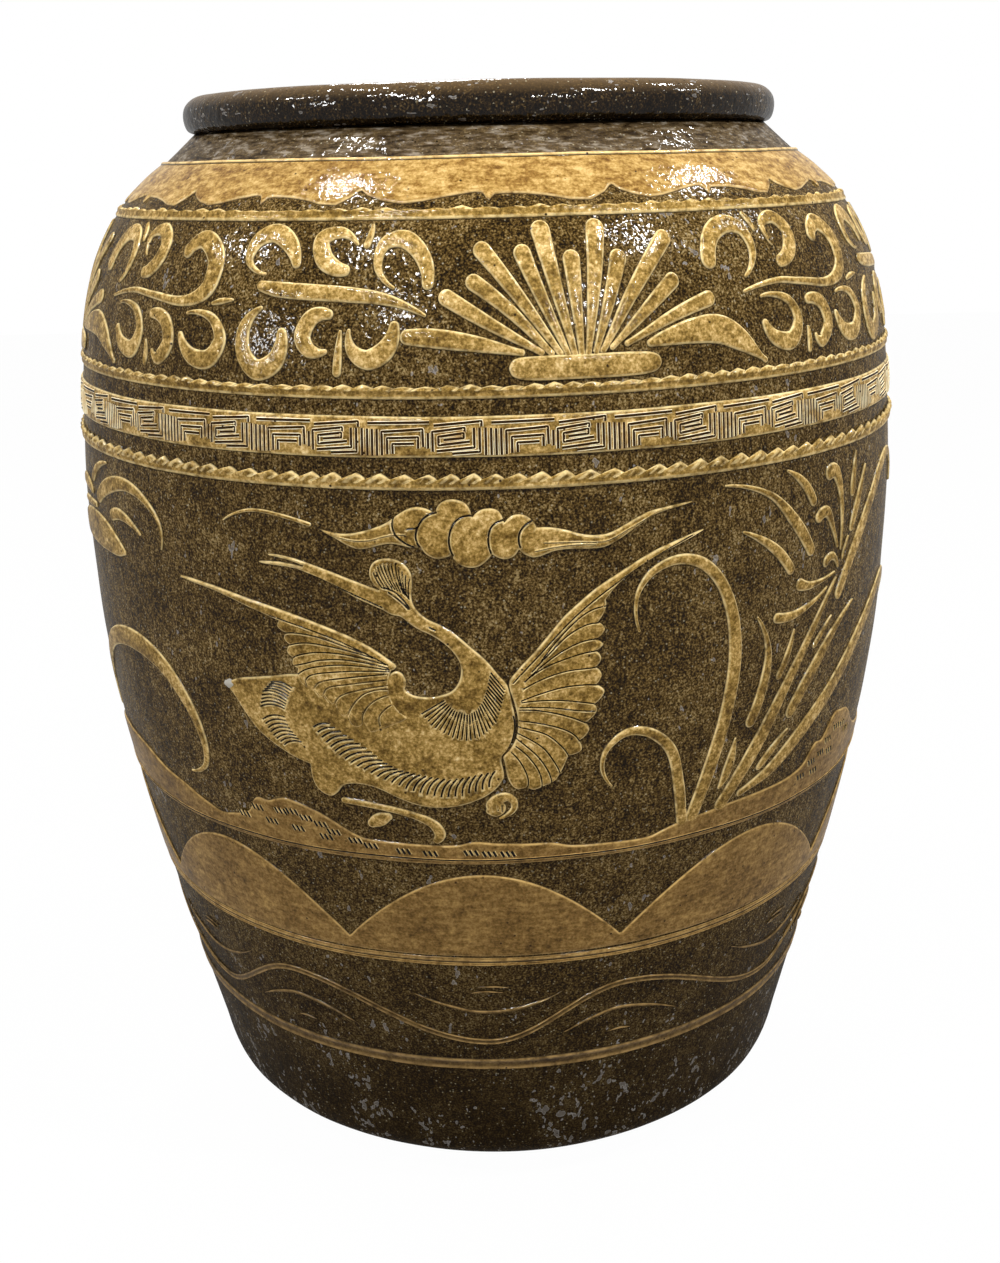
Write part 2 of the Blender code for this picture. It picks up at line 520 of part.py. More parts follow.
def ribbon(name, edges, across_shares, thickness, finish):
    # Closed strap whose edges wander: edges holds the girth and the arcs of its lower and upper edge
    bm = bmesh.new()
    loops = []
    for girth, low, high in edges:
        arcs = [low + (high - low) * share for share in across_shares]
        under = [bm.verts.new(on_wall(girth, arc, relief_lift)) for arc in arcs]
        over = [bm.verts.new(on_wall(girth, arc, relief_lift + thickness)) for arc in arcs]
        loops.append(under + over[::-1])
    for here, after in zip(loops, loops[1:] + loops[:1]):
        for i in range(len(here)):
            bm.faces.new((here[i], here[i - 1], after[i - 1], after[i]))
    add_mesh(name, bm, finish)


def bands():
    cord, flat, ridge = cord_crown_shares, flat_crown_shares, ridge_crown_shares
    band("lower_cordon", lower_cordon_height, lower_cordon_width, cord, cordon_thickness, ochre_glaze)
    band("meander_band", meander_height, meander_width, flat, band_thickness, ochre_glaze)
    band("middle_cordon", middle_cordon_height, middle_cordon_width, cord, cordon_thickness, ochre_glaze)
    band("upper_cordon", upper_cordon_height, upper_cordon_width, cord, cordon_thickness, ochre_glaze)
    band("hill_border", hill_border_height, hill_border_width, flat, band_thickness, ochre_glaze)
    band("wave_border_lower", wave_border_height, wave_border_line_width, ridge, line_thickness, ochre_glaze)
    upper_line = height_at(arc_at(wave_border_height) + wave_border_pitch)
    band("wave_border_upper", upper_line, wave_border_line_width, ridge, line_thickness, ochre_glaze)


def collar_band():
    # Strap under the neck, whose lower edge is a run of brackets
    nib = arc_at(collar_nib_height)
    top = arc_at(neck_root_height)
    edges = []
    for bracket in range(collar_brackets):
        for along, up in collar_edge_shares:
            place = belly_girth * (collar_start_share + (bracket + along) / collar_brackets)
            edges.append((place, nib + collar_cusp_height * up, top))
    ribbon("collar_band", edges, collar_across_shares, band_thickness, amber_glaze)


def wave_arc_level(turn_share):
    # Middle of the wave line: it falls slowly and climbs fast
    if turn_share < wave_fall_share:
        way = math.cos(math.pi * turn_share / wave_fall_share)
    else:
        way = -math.cos(math.pi * (turn_share - wave_fall_share) / (1 - wave_fall_share))
    return arc_at(wave_mean_height) + wave_amplitude * way


def wave_line():
    edges = []
    for step in range(wave_count * wave_steps):
        place = step / wave_steps
        middle = wave_arc_level(place % 1.0)
        edges.append((belly_girth * (wave_start_share + place / wave_count), middle - wave_line_width / 2,
                      middle + wave_line_width / 2))
    ribbon("wave_line", edges, line_across_shares, line_thickness, ochre_glaze)


# Relief cut from thin clay

def on_grid(table_shares, frame_shares, grid_shares, field, girth):
    # Turns a table of shares into girth and arc; a third value is a width. A field holds its width,
    # its lowest arc and its height.
    start, rise, width, height = frame_shares
    across, up = field[0] * width / grid_shares[0], field[2] * height / grid_shares[1]
    points = []
    for row in table_shares:
        point = [girth + field[0] * start + row[0] * across, field[1] + field[2] * rise + row[1] * up]
        if len(row) == 3:
            point.append(row[2] * up)
        points.append(tuple(point))
    return points


def signed_area(outline):
    return sum(a[0] * b[1] - b[0] * a[1] for a, b in zip(outline, outline[1:] + outline[:1])) / 2


def grown(outline, distance):
    # Outline moved outwards by a distance
    points = []
    turn = 1 if signed_area(outline) > 0 else -1
    for before, here, after in zip(outline[-1:] + outline[:-1], outline, outline[1:] + outline[:1]):
        way = Vector((after[0] - before[0], after[1] - before[1])).normalized()
        points.append((here[0] + way.y * distance * turn, here[1] - way.x * distance * turn))
    return points


def with_steps(outline, step):
    # Outline with points added along its long edges, anticlockwise
    points = []
    for here, after in zip(outline, outline[1:] + outline[:1]):
        count = max(1, math.ceil(math.dist(here, after) / step))
        points += [(here[0] + (after[0] - here[0]) * i / count, here[1] + (after[1] - here[1]) * i / count)
                   for i in range(count)]
    return points if signed_area(points) > 0 else points[::-1]


def is_inside(point, outline):
    inside = False
    for a, b in zip(outline, outline[1:] + outline[:1]):
        if (a[1] > point[1]) != (b[1] > point[1]):
            if point[0] < a[0] + (point[1] - a[1]) / (b[1] - a[1]) * (b[0] - a[0]):
                inside = not inside
    return inside


def edge_distance(point, outline):
    best = math.inf
    for a, b in zip(outline, outline[1:] + outline[:1]):
        way = (b[0] - a[0], b[1] - a[1])
        along = ((point[0] - a[0]) * way[0] + (point[1] - a[1]) * way[1]) / (way[0] ** 2 + way[1] ** 2)
        along = min(max(along, 0.0), 1.0)
        best = min(best, math.hypot(point[0] - a[0] - way[0] * along, point[1] - a[1] - way[1] * along))
    return best


def filled(outline, cuts):
    # Flat points and triangles of an outline less its cuts
    loops = [with_steps(outline, plate_step)] + [with_steps(cut, plate_step) for cut in cuts]
    points = []
    faces = []
    for loop in loops:
        faces.append(list(range(len(points), len(points) + len(loop))))
        points += loop
    low_x, high_x = min(p[0] for p in loops[0]), max(p[0] for p in loops[0])
    low_y, high_y = min(p[1] for p in loops[0]), max(p[1] for p in loops[0])
    for i in range(1, math.ceil((high_x - low_x) / plate_step)):
        for j in range(1, math.ceil((high_y - low_y) / plate_step)):
            point = (low_x + i * plate_step, low_y + j * plate_step)
            clear = all(edge_distance(point, loop) > fill_margin for loop in loops)
            if clear and is_inside(point, loops[0]) and not any(is_inside(point, cut) for cut in loops[1:]):
                points.append(point)
    found = geometry.delaunay_2d_cdt([Vector(p) for p in points], [], faces, 0, weld_distance, True)
    triangles = [face for face, source in zip(found[2], found[5]) if source and min(source) == 0
                 and max(source) == 0]
    used = sorted({i for face in triangles for i in face})
    place = {index: order for order, index in enumerate(used)}
    return [tuple(found[0][i]) for i in used], [tuple(place[i] for i in face) for face in triangles]


def add_plate(bm, outline, cuts=()):
    # Closed slip of clay over the wall, of one thickness
    points, triangles = filled(outline, cuts)
    under = [bm.verts.new(on_wall(x, y, relief_lift)) for x, y in points]
    over = [bm.verts.new(on_wall(x, y, relief_lift + plate_thickness)) for x, y in points]
    sides = {(a, b) for face in triangles for a, b in zip(face, face[1:] + face[:1])}
    for face in triangles:
        bm.faces.new([over[i] for i in face])
        bm.faces.new([under[i] for i in reversed(face)])
    for a, b in sides:
        if (b, a) not in sides:
            bm.faces.new((under[a], under[b], over[b], over[a]))


def add_stroke(bm, spine, height, foot_lift):
    # Rolled stroke of clay: a ridge along a spine of girth, arc and width. Its sides reach the
    # wall at that width, and run on to the foot.
    rows = []
    for i, (x, y, width) in enumerate(spine):
        before, after = spine[max(i - 1, 0)], spine[min(i + 1, len(spine) - 1)]
        crest = min(height, width * crest_share)
        way = Vector((after[0] - before[0], after[1] - before[1])).normalized()
        way *= width / 2 * (crest - min(foot_lift, 0.0)) / crest
        rows.append([bm.verts.new(on_wall(x - way.y, y + way.x, foot_lift)),
                     bm.verts.new(on_wall(x, y, max(foot_lift, 0.0) + crest)),
                     bm.verts.new(on_wall(x + way.y, y - way.x, foot_lift))])
    for here, after in zip(rows, rows[1:]):
        for i in range(3):
            bm.faces.new((here[i], here[i - 1], after[i - 1], after[i]))
    bm.faces.new(rows[0][::-1])
    bm.faces.new(rows[-1])


def stroke_node(name, spine):
    # Stroke that is a piece of its own, lying on the wall
    bm = bmesh.new()
    add_stroke(bm, with_head(curved(spine)), stroke_height, relief_lift)
    add_mesh(name, bm, ochre_glaze)


def curved(spine):
    # Spine with points added on a smooth curve through its own, no further apart than a step
    points = []
    for i, (here, after) in enumerate(zip(spine, spine[1:])):
        before, beyond = spine[max(i - 1, 0)], spine[min(i + 2, len(spine) - 1)]
        count = max(1, math.ceil(math.dist(here[:2], after[:2]) / plate_step))
        for k in range(count):
            t = k / count
            points.append(tuple(
                0.5 * (2 * b + (c - a) * t + (2 * a - 5 * b + 4 * c - d) * t ** 2
                       + (3 * b - a - 3 * c + d) * t ** 3)
                for a, b, c, d in zip(before, here, after, beyond)))
    points.append(spine[-1])
    return points


def lute_strokes(wall_name, spines):
    # Small strokes pressed into a wall section and fused with it
    bm = bmesh.new()
    for spine in spines:
        add_stroke(bm, spine, stroke_height, -stroke_sink)
    add_mesh(wall_name + "_strokes", bm, ochre_glaze)
    strokes = bpy.data.objects[wall_name + "_strokes"]
    strokes.hide_render = True
    strokes.display_type = "WIRE"
    join = bpy.data.objects[wall_name].modifiers.new("lute", "BOOLEAN")
    join.operation = "UNION"
    join.solver = "EXACT"
    join.use_self = True
    join.object = strokes


def with_head(spine):
    # Rounds the first end of a stroke where it starts broad
    start, after = spine[0], spine[1]
    if start[2] < after[2] * head_least_share:
        return spine
    way = Vector((start[0] - after[0], start[1] - after[1])).normalized() * start[2] * head_reach_share
    return [(start[0] + way.x, start[1] + way.y, start[2] * head_width_share)] + list(spine)


# Pictures

def field_between(width, low_height, high_height):
    low, high = arc_at(low_height), arc_at(high_height)
    return width, low, high - low


main_field = field_between(belly_girth / sides, ground_height, lower_cordon_height)
frieze_field = field_between(belly_girth / frieze_tiles, middle_cordon_height, upper_cordon_height)


def crane_frame(table_shares, girth):
    return on_grid(table_shares, crane_frame_shares, crane_grid_shares, main_field, girth)


def cloud_frame(table_shares, girth):
    return on_grid(table_shares, cloud_frame_shares, cloud_grid_shares, main_field, girth)


def reed_frame(table_shares, girth):
    return on_grid(table_shares, reed_frame_shares, reed_grid_shares, main_field, girth)


def leaf_frame(table_shares, girth):
    return on_grid(table_shares, leaf_frame_shares, leaf_grid_shares, main_field, girth)


def tuft_frame(table_shares, girth):
    return on_grid(table_shares, tuft_frame_shares, frieze_grid_shares, frieze_field, girth)


def scroll_frame(table_shares, girth):
    return on_grid(table_shares, scroll_frame_shares, frieze_grid_shares, frieze_field, girth)


def crane(number, girth):
    wings = [crane_frame(crane_left_wing_shares, girth), crane_frame(crane_right_wing_shares, girth)]
    plate_node("crane_body_%d" % number, crane_frame(crane_body_shares, girth),
               [grown(wing, cut_clearance) for wing in wings])
    plate_node("crane_left_wing_%d" % number, wings[0])
    plate_node("crane_right_wing_%d" % number, wings[1])
    stroke_node("crane_leg_%d" % number, crane_frame(crane_leg_shares, girth))
    stroke_node("crane_foot_%d" % number, crane_frame(crane_foot_shares, girth))


def cloud(number, girth):
    plate_node("cloud_%d" % number, cloud_frame(cloud_body_shares, girth))
    stroke_node("cloud_tail_%d" % number, cloud_frame(cloud_tail_shares, girth))


def plants(number, girth):
    for name, spine in reed_shares:
        stroke_node("%s_%d" % (name, number), reed_frame(spine, girth))
    for name, spine in leaf_shares:
        stroke_node("%s_%d" % (name, number), leaf_frame(spine, girth))


def luted_leaves():
    # Small leaf strokes, flower heads and the pebble of each picture
    strokes = []
    for side in range(sides):
        girth = belly_girth * side / sides
        strokes += [reed_frame(spine, girth) for spine in spray_shares]
        strokes += [leaf_frame(spine, girth) for spine in small_leaf_shares]
        strokes.append(crane_frame(pebble_shares, girth))
    lute_strokes("belly_wall", strokes)


def ground(number, girth):
    # Strip of earth with its mounds, as long as one picture
    edge = on_grid(ground_edge_shares, ground_frame_shares, ground_grid_shares, main_field, girth)
    base = main_field[1]
    start = edge[0][0]
    edge[0] = (start + cut_clearance, edge[0][1])
    edge[-1] = (start + main_field[0] - cut_clearance, edge[-1][1])
    plate_node("ground_%d" % number, edge + [(edge[-1][0], base), (edge[0][0], base)])


def hill_row():
    # Row of rounded hills that meet in low valleys, its peaks just under the ground line
    base = arc_at(hill_border_height) + hill_border_width + hill_gap
    hill_rise = arc_at(ground_height) - hill_clearance - base - hill_skirt
    place = belly_girth * hill_start_share
    edges = []
    for share in hill_width_shares:
        width = belly_girth * share / sum(hill_width_shares)
        for step in range(hill_steps):
            rise = hill_rise * math.sin(math.pi * step / hill_steps)
            edges.append((place + width * step / hill_steps, base, base + hill_skirt + rise))
        place += width
    ribbon("hill_row", edges, hill_across_shares, plate_thickness, ochre_glaze)


def plate_node(name, outline, cuts=()):
    bm = bmesh.new()
    add_plate(bm, outline, cuts)
    add_mesh(name, bm, ochre_glaze)


def frieze():
    # Shoulder frieze: in each tile a fan tuft in a boat, and the scrolls beyond it
    strokes = []
    for number in range(frieze_tiles):
        girth = frieze_field[0] * number
        plate_node("tuft_boat_%d" % (number + 1), tuft_frame(tuft_boat_shares, girth))
        stroke_node("hook_scroll_%d" % (number + 1), tuft_frame(hook_stem_shares, girth))
        strokes += [tuft_frame(spine, girth) for spine in tuft_blade_shares + scroll_near_shares]
        strokes += [scroll_frame(spine, girth) for spine in scroll_far_shares]
    lute_strokes("shoulder_wall", strokes)


def relief():
    bands()
    collar_band()
    wave_line()
    hill_row()
    for side in range(sides):
        girth = belly_girth * side / sides
        crane(side + 1, girth)
        cloud(side + 1, girth)
        plants(side + 1, girth)
        ground(side + 1, girth)
    luted_leaves()
    frieze()


for old in list(bpy.data.objects):
    bpy.data.objects.remove(old, do_unlink=True)
body()
relief()
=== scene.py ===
# Looks of the large glazed stoneware jar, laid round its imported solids
import math

import bpy
import bmesh
import numpy as np
from mathutils import Matrix, Vector, geometry


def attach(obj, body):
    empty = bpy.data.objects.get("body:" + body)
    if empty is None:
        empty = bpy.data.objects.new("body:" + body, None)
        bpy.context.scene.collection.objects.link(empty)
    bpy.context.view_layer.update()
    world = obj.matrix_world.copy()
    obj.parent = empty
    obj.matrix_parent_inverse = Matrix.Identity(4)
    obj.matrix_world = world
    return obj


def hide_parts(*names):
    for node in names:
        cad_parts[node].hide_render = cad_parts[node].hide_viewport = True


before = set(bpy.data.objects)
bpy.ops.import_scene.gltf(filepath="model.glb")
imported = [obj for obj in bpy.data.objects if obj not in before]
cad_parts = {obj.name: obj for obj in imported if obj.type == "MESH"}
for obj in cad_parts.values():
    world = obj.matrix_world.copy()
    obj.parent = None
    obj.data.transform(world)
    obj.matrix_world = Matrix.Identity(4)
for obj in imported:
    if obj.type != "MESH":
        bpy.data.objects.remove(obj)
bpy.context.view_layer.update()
print("frame loaded:", len(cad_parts), "nodes")
mm = 0.001

# The wall's own curve, as the solids have it: sizes in metres, shares of the rise and the reach
wallForm = {
    "footRadius": 0.202, "heelRadius": 0.241, "heelHeight": 0.032,
    "bellyRadius": 0.3174, "bellyHeight": 0.514,
    "rootRadius": 0.2374, "rootHeight": 0.7538,
    "neckRadius": 0.2145, "seatHeight": 0.774,
    "thickness": 0.010, "baseThickness": 0.012, "seamGap": 0.0003,
    "toeShares": ((0.375, 0.40),),
    "flankShares": ((0.064, 0.105), (0.18, 0.275), (0.344, 0.51), (0.508, 0.72), (0.672, 0.89),
                    (0.836, 0.982)),
    "shoulderShares": ((0.2625, 0.0425), (0.496, 0.1175), (0.692, 0.2675), (0.858, 0.53), (0.955, 0.82)),
    "curveSteps": 1200,
    "unevenness": 0.0016,      # depth of the hand-built wall's dents
    "unevenScale": 9.0,
}


def wallPoints():
    # Height and radius of the curve's knots, stretch by stretch
    f = wallForm
    knots = [(0.0, f["footRadius"])]
    for end, shares in (("heel", "toeShares"), ("belly", "flankShares"), ("root", "shoulderShares")):
        (low, inner), high, outer = knots[-1], f[end + "Height"], f[end + "Radius"]
        knots += [(low + (high - low) * up, inner + (outer - inner) * out) for up, out in f[shares]]
        knots.append((high, outer))
    return np.array(knots + [(f["seatHeight"], f["neckRadius"])])


def wallRadius(heights):
    # Smooth curve through the wall's points, without bumps between them
    points = wallPoints()
    z, r = points[:, 0], points[:, 1]
    steps = np.diff(r) / np.diff(z)
    slopes = np.zeros(len(z))
    slopes[0], slopes[-1] = steps[0], steps[-1]
    product = steps[:-1] * steps[1:]
    inner = np.where(product > 0, 2 * product / np.where(product > 0, steps[:-1] + steps[1:], 1), 0.0)
    slopes[1:-1] = inner
    heights = np.clip(heights, z[0], z[-1])
    i = np.clip(np.searchsorted(z, heights, side="left") - 1, 0, len(z) - 2)
    span = z[i + 1] - z[i]
    t = (heights - z[i]) / span
    rise = span * (slopes[i] * (t ** 3 - 2 * t ** 2 + t) + slopes[i + 1] * (t ** 3 - t ** 2))
    return r[i] * (2 * t ** 3 - 3 * t ** 2 + 1) + r[i + 1] * (3 * t ** 2 - 2 * t ** 3) + rise


curveHeights = np.linspace(0, wallForm["seatHeight"], wallForm["curveSteps"] + 1)
curveRadii = wallRadius(curveHeights)
curveArcs = np.concatenate([[0], np.cumsum(np.hypot(np.diff(curveHeights), np.diff(curveRadii)))])
girth = 2 * math.pi * wallForm["bellyRadius"]


def arcAt(height):
    return float(np.interp(height, curveHeights, curveArcs))


# Heights of the ornament's lines, as the solids have them
lineHeights = {
    "waveBorder": 0.1165, "waveMean": 0.1660, "hillBorder": 0.2150, "ground": 0.3020,
    "lowerCordon": 0.5602, "meander": 0.5798, "middleCordon": 0.6150, "upperCordon": 0.7180, "collarNib": 0.7268,
}
lineArcs = {name: arcAt(height) for name, height in lineHeights.items()}
lineWidths = {
    "waveBorderLine": 0.0040, "waveBorderPitch": 0.0080, "waveLine": 0.0055, "hillBorder": 0.0076,
    "lowerCordon": 0.0115, "meander": 0.0256, "middleCordon": 0.0080, "upperCordon": 0.0095,
}
mainField = (girth / 2, lineArcs["ground"], lineArcs["lowerCordon"] - lineArcs["ground"])
friezeField = (girth / 4, lineArcs["middleCordon"], lineArcs["upperCordon"] - lineArcs["middleCordon"])


# Nodes: one function adds a node with its settings and links

def addNode(tree, kind, inputs=(), **settings):
    # Inputs come in the sockets' order or by name; a node stands for its first output
    node = tree.nodes.new(kind)
    for key, value in settings.items():
        if key == "stops":    # a colour ramp's places and sRGB colours
            for _ in value[2:]:
                node.color_ramp.elements.new(0.5)
            for element, (place, code) in zip(node.color_ramp.elements, value):
                element.position, element.color = place, linearColour(code)
        else:
            setattr(node, key, value)
    for key, value in inputs.items() if isinstance(inputs, dict) else enumerate(inputs):
        if isinstance(value, bpy.types.Node):
            value = value.outputs[0]
        if isinstance(value, bpy.types.NodeSocket):
            tree.links.new(value, node.inputs[key])
        else:
            node.inputs[key].default_value = value
    return node


def newTree(name, inputs):
    tree = bpy.data.node_groups.new(name, "GeometryNodeTree")
    tree.is_modifier = True
    for label, kind in inputs:
        tree.interface.new_socket(name=label, in_out="INPUT", socket_type="NodeSocket" + kind)
    tree.interface.new_socket(name="Geometry", in_out="OUTPUT", socket_type="NodeSocketGeometry")
    return tree, tree.nodes.new("NodeGroupInput").outputs, tree.nodes.new("NodeGroupOutput")


def standOff(tree, given, turn, sample, height):
    # Place at this turn and this spot of a curve, moved off the surface by the height and the hand-built dents
    point = addNode(tree, "ShaderNodeSeparateXYZ", [sample.outputs["Position"]]).outputs
    along = addNode(tree, "ShaderNodeSeparateXYZ", [sample.outputs["Tangent"]]).outputs
    sine = addNode(tree, "ShaderNodeMath", [turn], operation="SINE")
    cosine = addNode(tree, "ShaderNodeMath", [turn], operation="COSINE")
    back = addNode(tree, "ShaderNodeMath", [cosine, -1.0], operation="MULTIPLY")
    around = addNode(tree, "ShaderNodeCombineXYZ", [sine, back])
    down = addNode(tree, "ShaderNodeMath", [along["X"], -1.0], operation="MULTIPLY")
    vectors = []
    for out, up in ((point["X"], point["Z"]), (along["Z"], down)):
        reach = addNode(tree, "ShaderNodeVectorMath", {0: around, "Scale": out}, operation="SCALE")
        rise = addNode(tree, "ShaderNodeCombineXYZ", {"Z": up})
        vectors.append(addNode(tree, "ShaderNodeVectorMath", [reach, rise], operation="ADD"))
    onSurface, normal = vectors
    dents = addNode(tree, "ShaderNodeTexNoise", {
        "Vector": onSurface, "Scale": given["Uneven Scale"], "Detail": 2.0, "Roughness": 0.45})
    level = addNode(tree, "ShaderNodeMath", [dents, 0.5], operation="SUBTRACT")
    lift = addNode(tree, "ShaderNodeMath", [level, given["Unevenness"], height], operation="MULTIPLY_ADD")
    offset = addNode(tree, "ShaderNodeVectorMath", {0: normal, "Scale": lift}, operation="SCALE")
    return addNode(tree, "ShaderNodeVectorMath", [onSurface, offset], operation="ADD")


def finishTree(tree, given, end, source):
    painted = addNode(tree, "GeometryNodeSetMaterial", {"Geometry": source, "Material": given["Material"]})
    tree.links.new(painted.outputs[0], end.inputs[0])
    return tree


def repeatTree():
    # Copies of a flat piece at even steps round the jar, each a little turned, then laid on the wall:
    # X runs round the girth, Y up the wall's curve, Z stands off it
    tree, given, end = newTree("repeatRoundWall", (
        ("Geometry", "Geometry"), ("Copies", "Int"), ("Pitch", "Float"), ("Start", "Vector"),
        ("Turn Spread", "Float"), ("Seed", "Int"), ("Wall Curve", "Object"), ("Belly Radius", "Float"),
        ("Unevenness", "Float"), ("Uneven Scale", "Float"), ("Material", "Material")))
    step = addNode(tree, "ShaderNodeCombineXYZ", [given["Pitch"]])
    line = addNode(tree, "GeometryNodeMeshLine", {
        "Count": given["Copies"], "Start Location": given["Start"], "Offset": step}, mode="OFFSET")
    lowTurn = addNode(tree, "ShaderNodeMath", [given["Turn Spread"], -1.0], operation="MULTIPLY")
    turn = addNode(tree, "FunctionNodeRandomValue", {
        "Min": lowTurn, "Max": given["Turn Spread"], "Seed": given["Seed"]}, data_type="FLOAT")
    rotation = addNode(tree, "ShaderNodeCombineXYZ", {"Z": turn.outputs[1]})
    copies = addNode(tree, "GeometryNodeInstanceOnPoints", {
        "Points": line, "Instance": given["Geometry"], "Rotation": rotation})
    real = addNode(tree, "GeometryNodeRealizeInstances", [copies])
    place = addNode(tree, "ShaderNodeSeparateXYZ", [addNode(tree, "GeometryNodeInputPosition")]).outputs
    curve = addNode(tree, "GeometryNodeObjectInfo", {"Object": given["Wall Curve"]}).outputs["Geometry"]
    sample = addNode(tree, "GeometryNodeSampleCurve", {"Curves": curve, "Length": place["Y"]}, mode="LENGTH")
    angle = addNode(tree, "ShaderNodeMath", [place["X"], given["Belly Radius"]], operation="DIVIDE")
    moved = standOff(tree, given, angle, sample, place["Z"])
    laid = addNode(tree, "GeometryNodeSetPosition", {"Geometry": real, "Position": moved})
    return finishTree(tree, given, end, laid)


def turnedTree():
    # Turns a closed section into a body: the section runs from outside low to outside high and back inside
    tree, given, end = newTree("turnSection", (
        ("Geometry", "Geometry"), ("Section", "Object"), ("Columns", "Int"), ("Rows", "Int"),
        ("Unevenness", "Float"), ("Uneven Scale", "Float"), ("Weld", "Float"), ("Material", "Material")))
    grid = addNode(tree, "GeometryNodeMeshGrid", [1.0, 1.0, given["Columns"], given["Rows"]])
    place = addNode(tree, "ShaderNodeSeparateXYZ", [addNode(tree, "GeometryNodeInputPosition")]).outputs
    angle = addNode(tree, "ShaderNodeMath", [place["X"], 2 * math.pi, math.pi], operation="MULTIPLY_ADD")
    share = addNode(tree, "ShaderNodeMath", [place["Y"], 0.5], operation="ADD")
    curve = addNode(tree, "GeometryNodeObjectInfo", {"Object": given["Section"]}).outputs["Geometry"]
    sample = addNode(tree, "GeometryNodeSampleCurve", {"Curves": curve, "Factor": share}, mode="FACTOR")
    moved = standOff(tree, given, angle, sample, 0.0)
    laid = addNode(tree, "GeometryNodeSetPosition", {"Geometry": grid, "Position": moved})
    real = addNode(tree, "GeometryNodeRealizeInstances", [laid])
    welded = addNode(tree, "GeometryNodeMergeByDistance", {"Geometry": real, "Distance": given["Weld"]})
    return finishTree(tree, given, end, welded)


repeatRoundWall = repeatTree()
turnSection = turnedTree()


# Flat work: tables become metres, smooth lines and closed meshes, all lying on X (girth) and Y (way up the wall)

flatForm = {
    "lineStep": 0.9 * mm, "cutStep": 1.3 * mm,
    "weld": 0.004 * mm, "sink": 0.7 * mm,    # how far a piece's underside lies in the wall
    # how relief rises from its edge: way in from the edge, and height against the crown's
    "steps": (0.0, 0.35 * mm, 0.8 * mm, 1.5 * mm, 2.6 * mm, 4.2 * mm),
    "heights": (-0.12, 0.16, 0.58, 0.83, 0.95, 1.0),
    # tone is 0 in the dark line where the glaze pools, deepened by painted shade at the foot of the edge, 0.5 on the
    # pale worn rim, which also carries a painted highlight, and 1 on the body colour
    "tones": (0.0, 0.22, 0.50, 0.72, 1.0, 1.0),
}


def onGrid(table, frameShares, gridShares, field):
    # Table of shares into metres; a third value is a width
    first, rise, width, height = frameShares
    across, up = field[0] * width / gridShares[0], field[2] * height / gridShares[1]
    rows = np.array(table, float)
    out = rows.copy()
    out[:, 0] = field[0] * first + rows[:, 0] * across
    out[:, 1] = field[1] + field[2] * rise + rows[:, 1] * up
    if rows.shape[1] == 3:
        out[:, 2] = rows[:, 2] * up
    return out


def smoothLine(points, step, closed=False, cornerTurn=62.0, hollowTurn=None):
    # Smooth curve through the points at even steps; a sharp turn stays a corner, and a turn into the
    # shape stays one from hollowTurn on
    p = np.asarray(points, float)
    after, before = np.roll(p, -1, axis=0), np.roll(p, 1, axis=0)
    if not closed:
        after[-1], before[0] = p[-1], p[0]
    ahead, behind = after - p, p - before
    long = np.maximum(np.hypot(ahead[:, 0], ahead[:, 1]), 1e-9)
    short = np.maximum(np.hypot(behind[:, 0], behind[:, 1]), 1e-9)
    slopes = (after - before) / (long + short)[:, None]
    corner = (ahead[:, 0] * behind[:, 0] + ahead[:, 1] * behind[:, 1]) / (long * short) < math.cos(
        math.radians(cornerTurn))
    if hollowTurn is not None:
        size = (p[:, 0] * after[:, 1] - after[:, 0] * p[:, 1]).sum()
        turn = np.degrees(np.arctan2(behind[:, 0] * ahead[:, 1] - behind[:, 1] * ahead[:, 0],
                                     (ahead[:, :2] * behind[:, :2]).sum(1)))
        corner |= turn * np.sign(size) < -hollowTurn
    if not closed:
        corner[0] = corner[-1] = True
    pieces = []
    for i in range(len(p) if closed else len(p) - 1):
        j = (i + 1) % len(p)
        count = max(1, math.ceil(long[i] / step))
        t = (np.arange(count) / count)[:, None]
        chord = ahead[i] / long[i]
        start, stop = slopes[i], slopes[j]
        if corner[i] and corner[j]:
            start = stop = chord
        elif corner[i] or corner[j]:    # beside a corner the run is an arc
            kept = stop if corner[i] else start
            bent = 2 * (kept[:2] @ chord[:2]) * chord - kept
            start, stop = (bent, stop) if corner[i] else (start, bent)
        pieces.append((2 * t ** 3 - 3 * t ** 2 + 1) * p[i] + (3 * t ** 2 - 2 * t ** 3) * p[j]
                      + long[i] * ((t ** 3 - 2 * t ** 2 + t) * start + (t ** 3 - t ** 2) * stop))
    if not closed:
        pieces.append(p[-1:])
    return np.concatenate(pieces)


def sideways(line):
    # Unit vectors square to a line, to its left
    way = np.gradient(line[:, :2], axis=0)
    way /= np.maximum(np.hypot(way[:, 0], way[:, 1]), 1e-9)[:, None]
    return np.stack([-way[:, 1], way[:, 0]], axis=1)


def flatMesh(name, parts):
    # Joins lists of points, faces and tones into one closed mesh that faces outwards
    points, faces, tones, start = [], [], [], 0
    for part in parts:
        points.append(part[0])
        faces += [tuple(start + i for i in face) for face in part[1]]
        tones.append(part[2])
        start += len(part[0])
    mesh = bpy.data.meshes.new(name)
    mesh.from_pydata(np.concatenate(points).tolist(), [], faces)
    layer = mesh.attributes.new("tone", "FLOAT", "POINT")
    layer.data.foreach_set("value", np.concatenate(tones).astype(np.float32))
    bm = bmesh.new()
    bm.from_mesh(mesh)
    bmesh.ops.remove_doubles(bm, verts=bm.verts, dist=flatForm["weld"])
    bmesh.ops.dissolve_degenerate(bm, edges=bm.edges, dist=flatForm["weld"])
    bmesh.ops.recalc_face_normals(bm, faces=bm.faces)
    bm.to_mesh(mesh)
    bm.free()
    return mesh


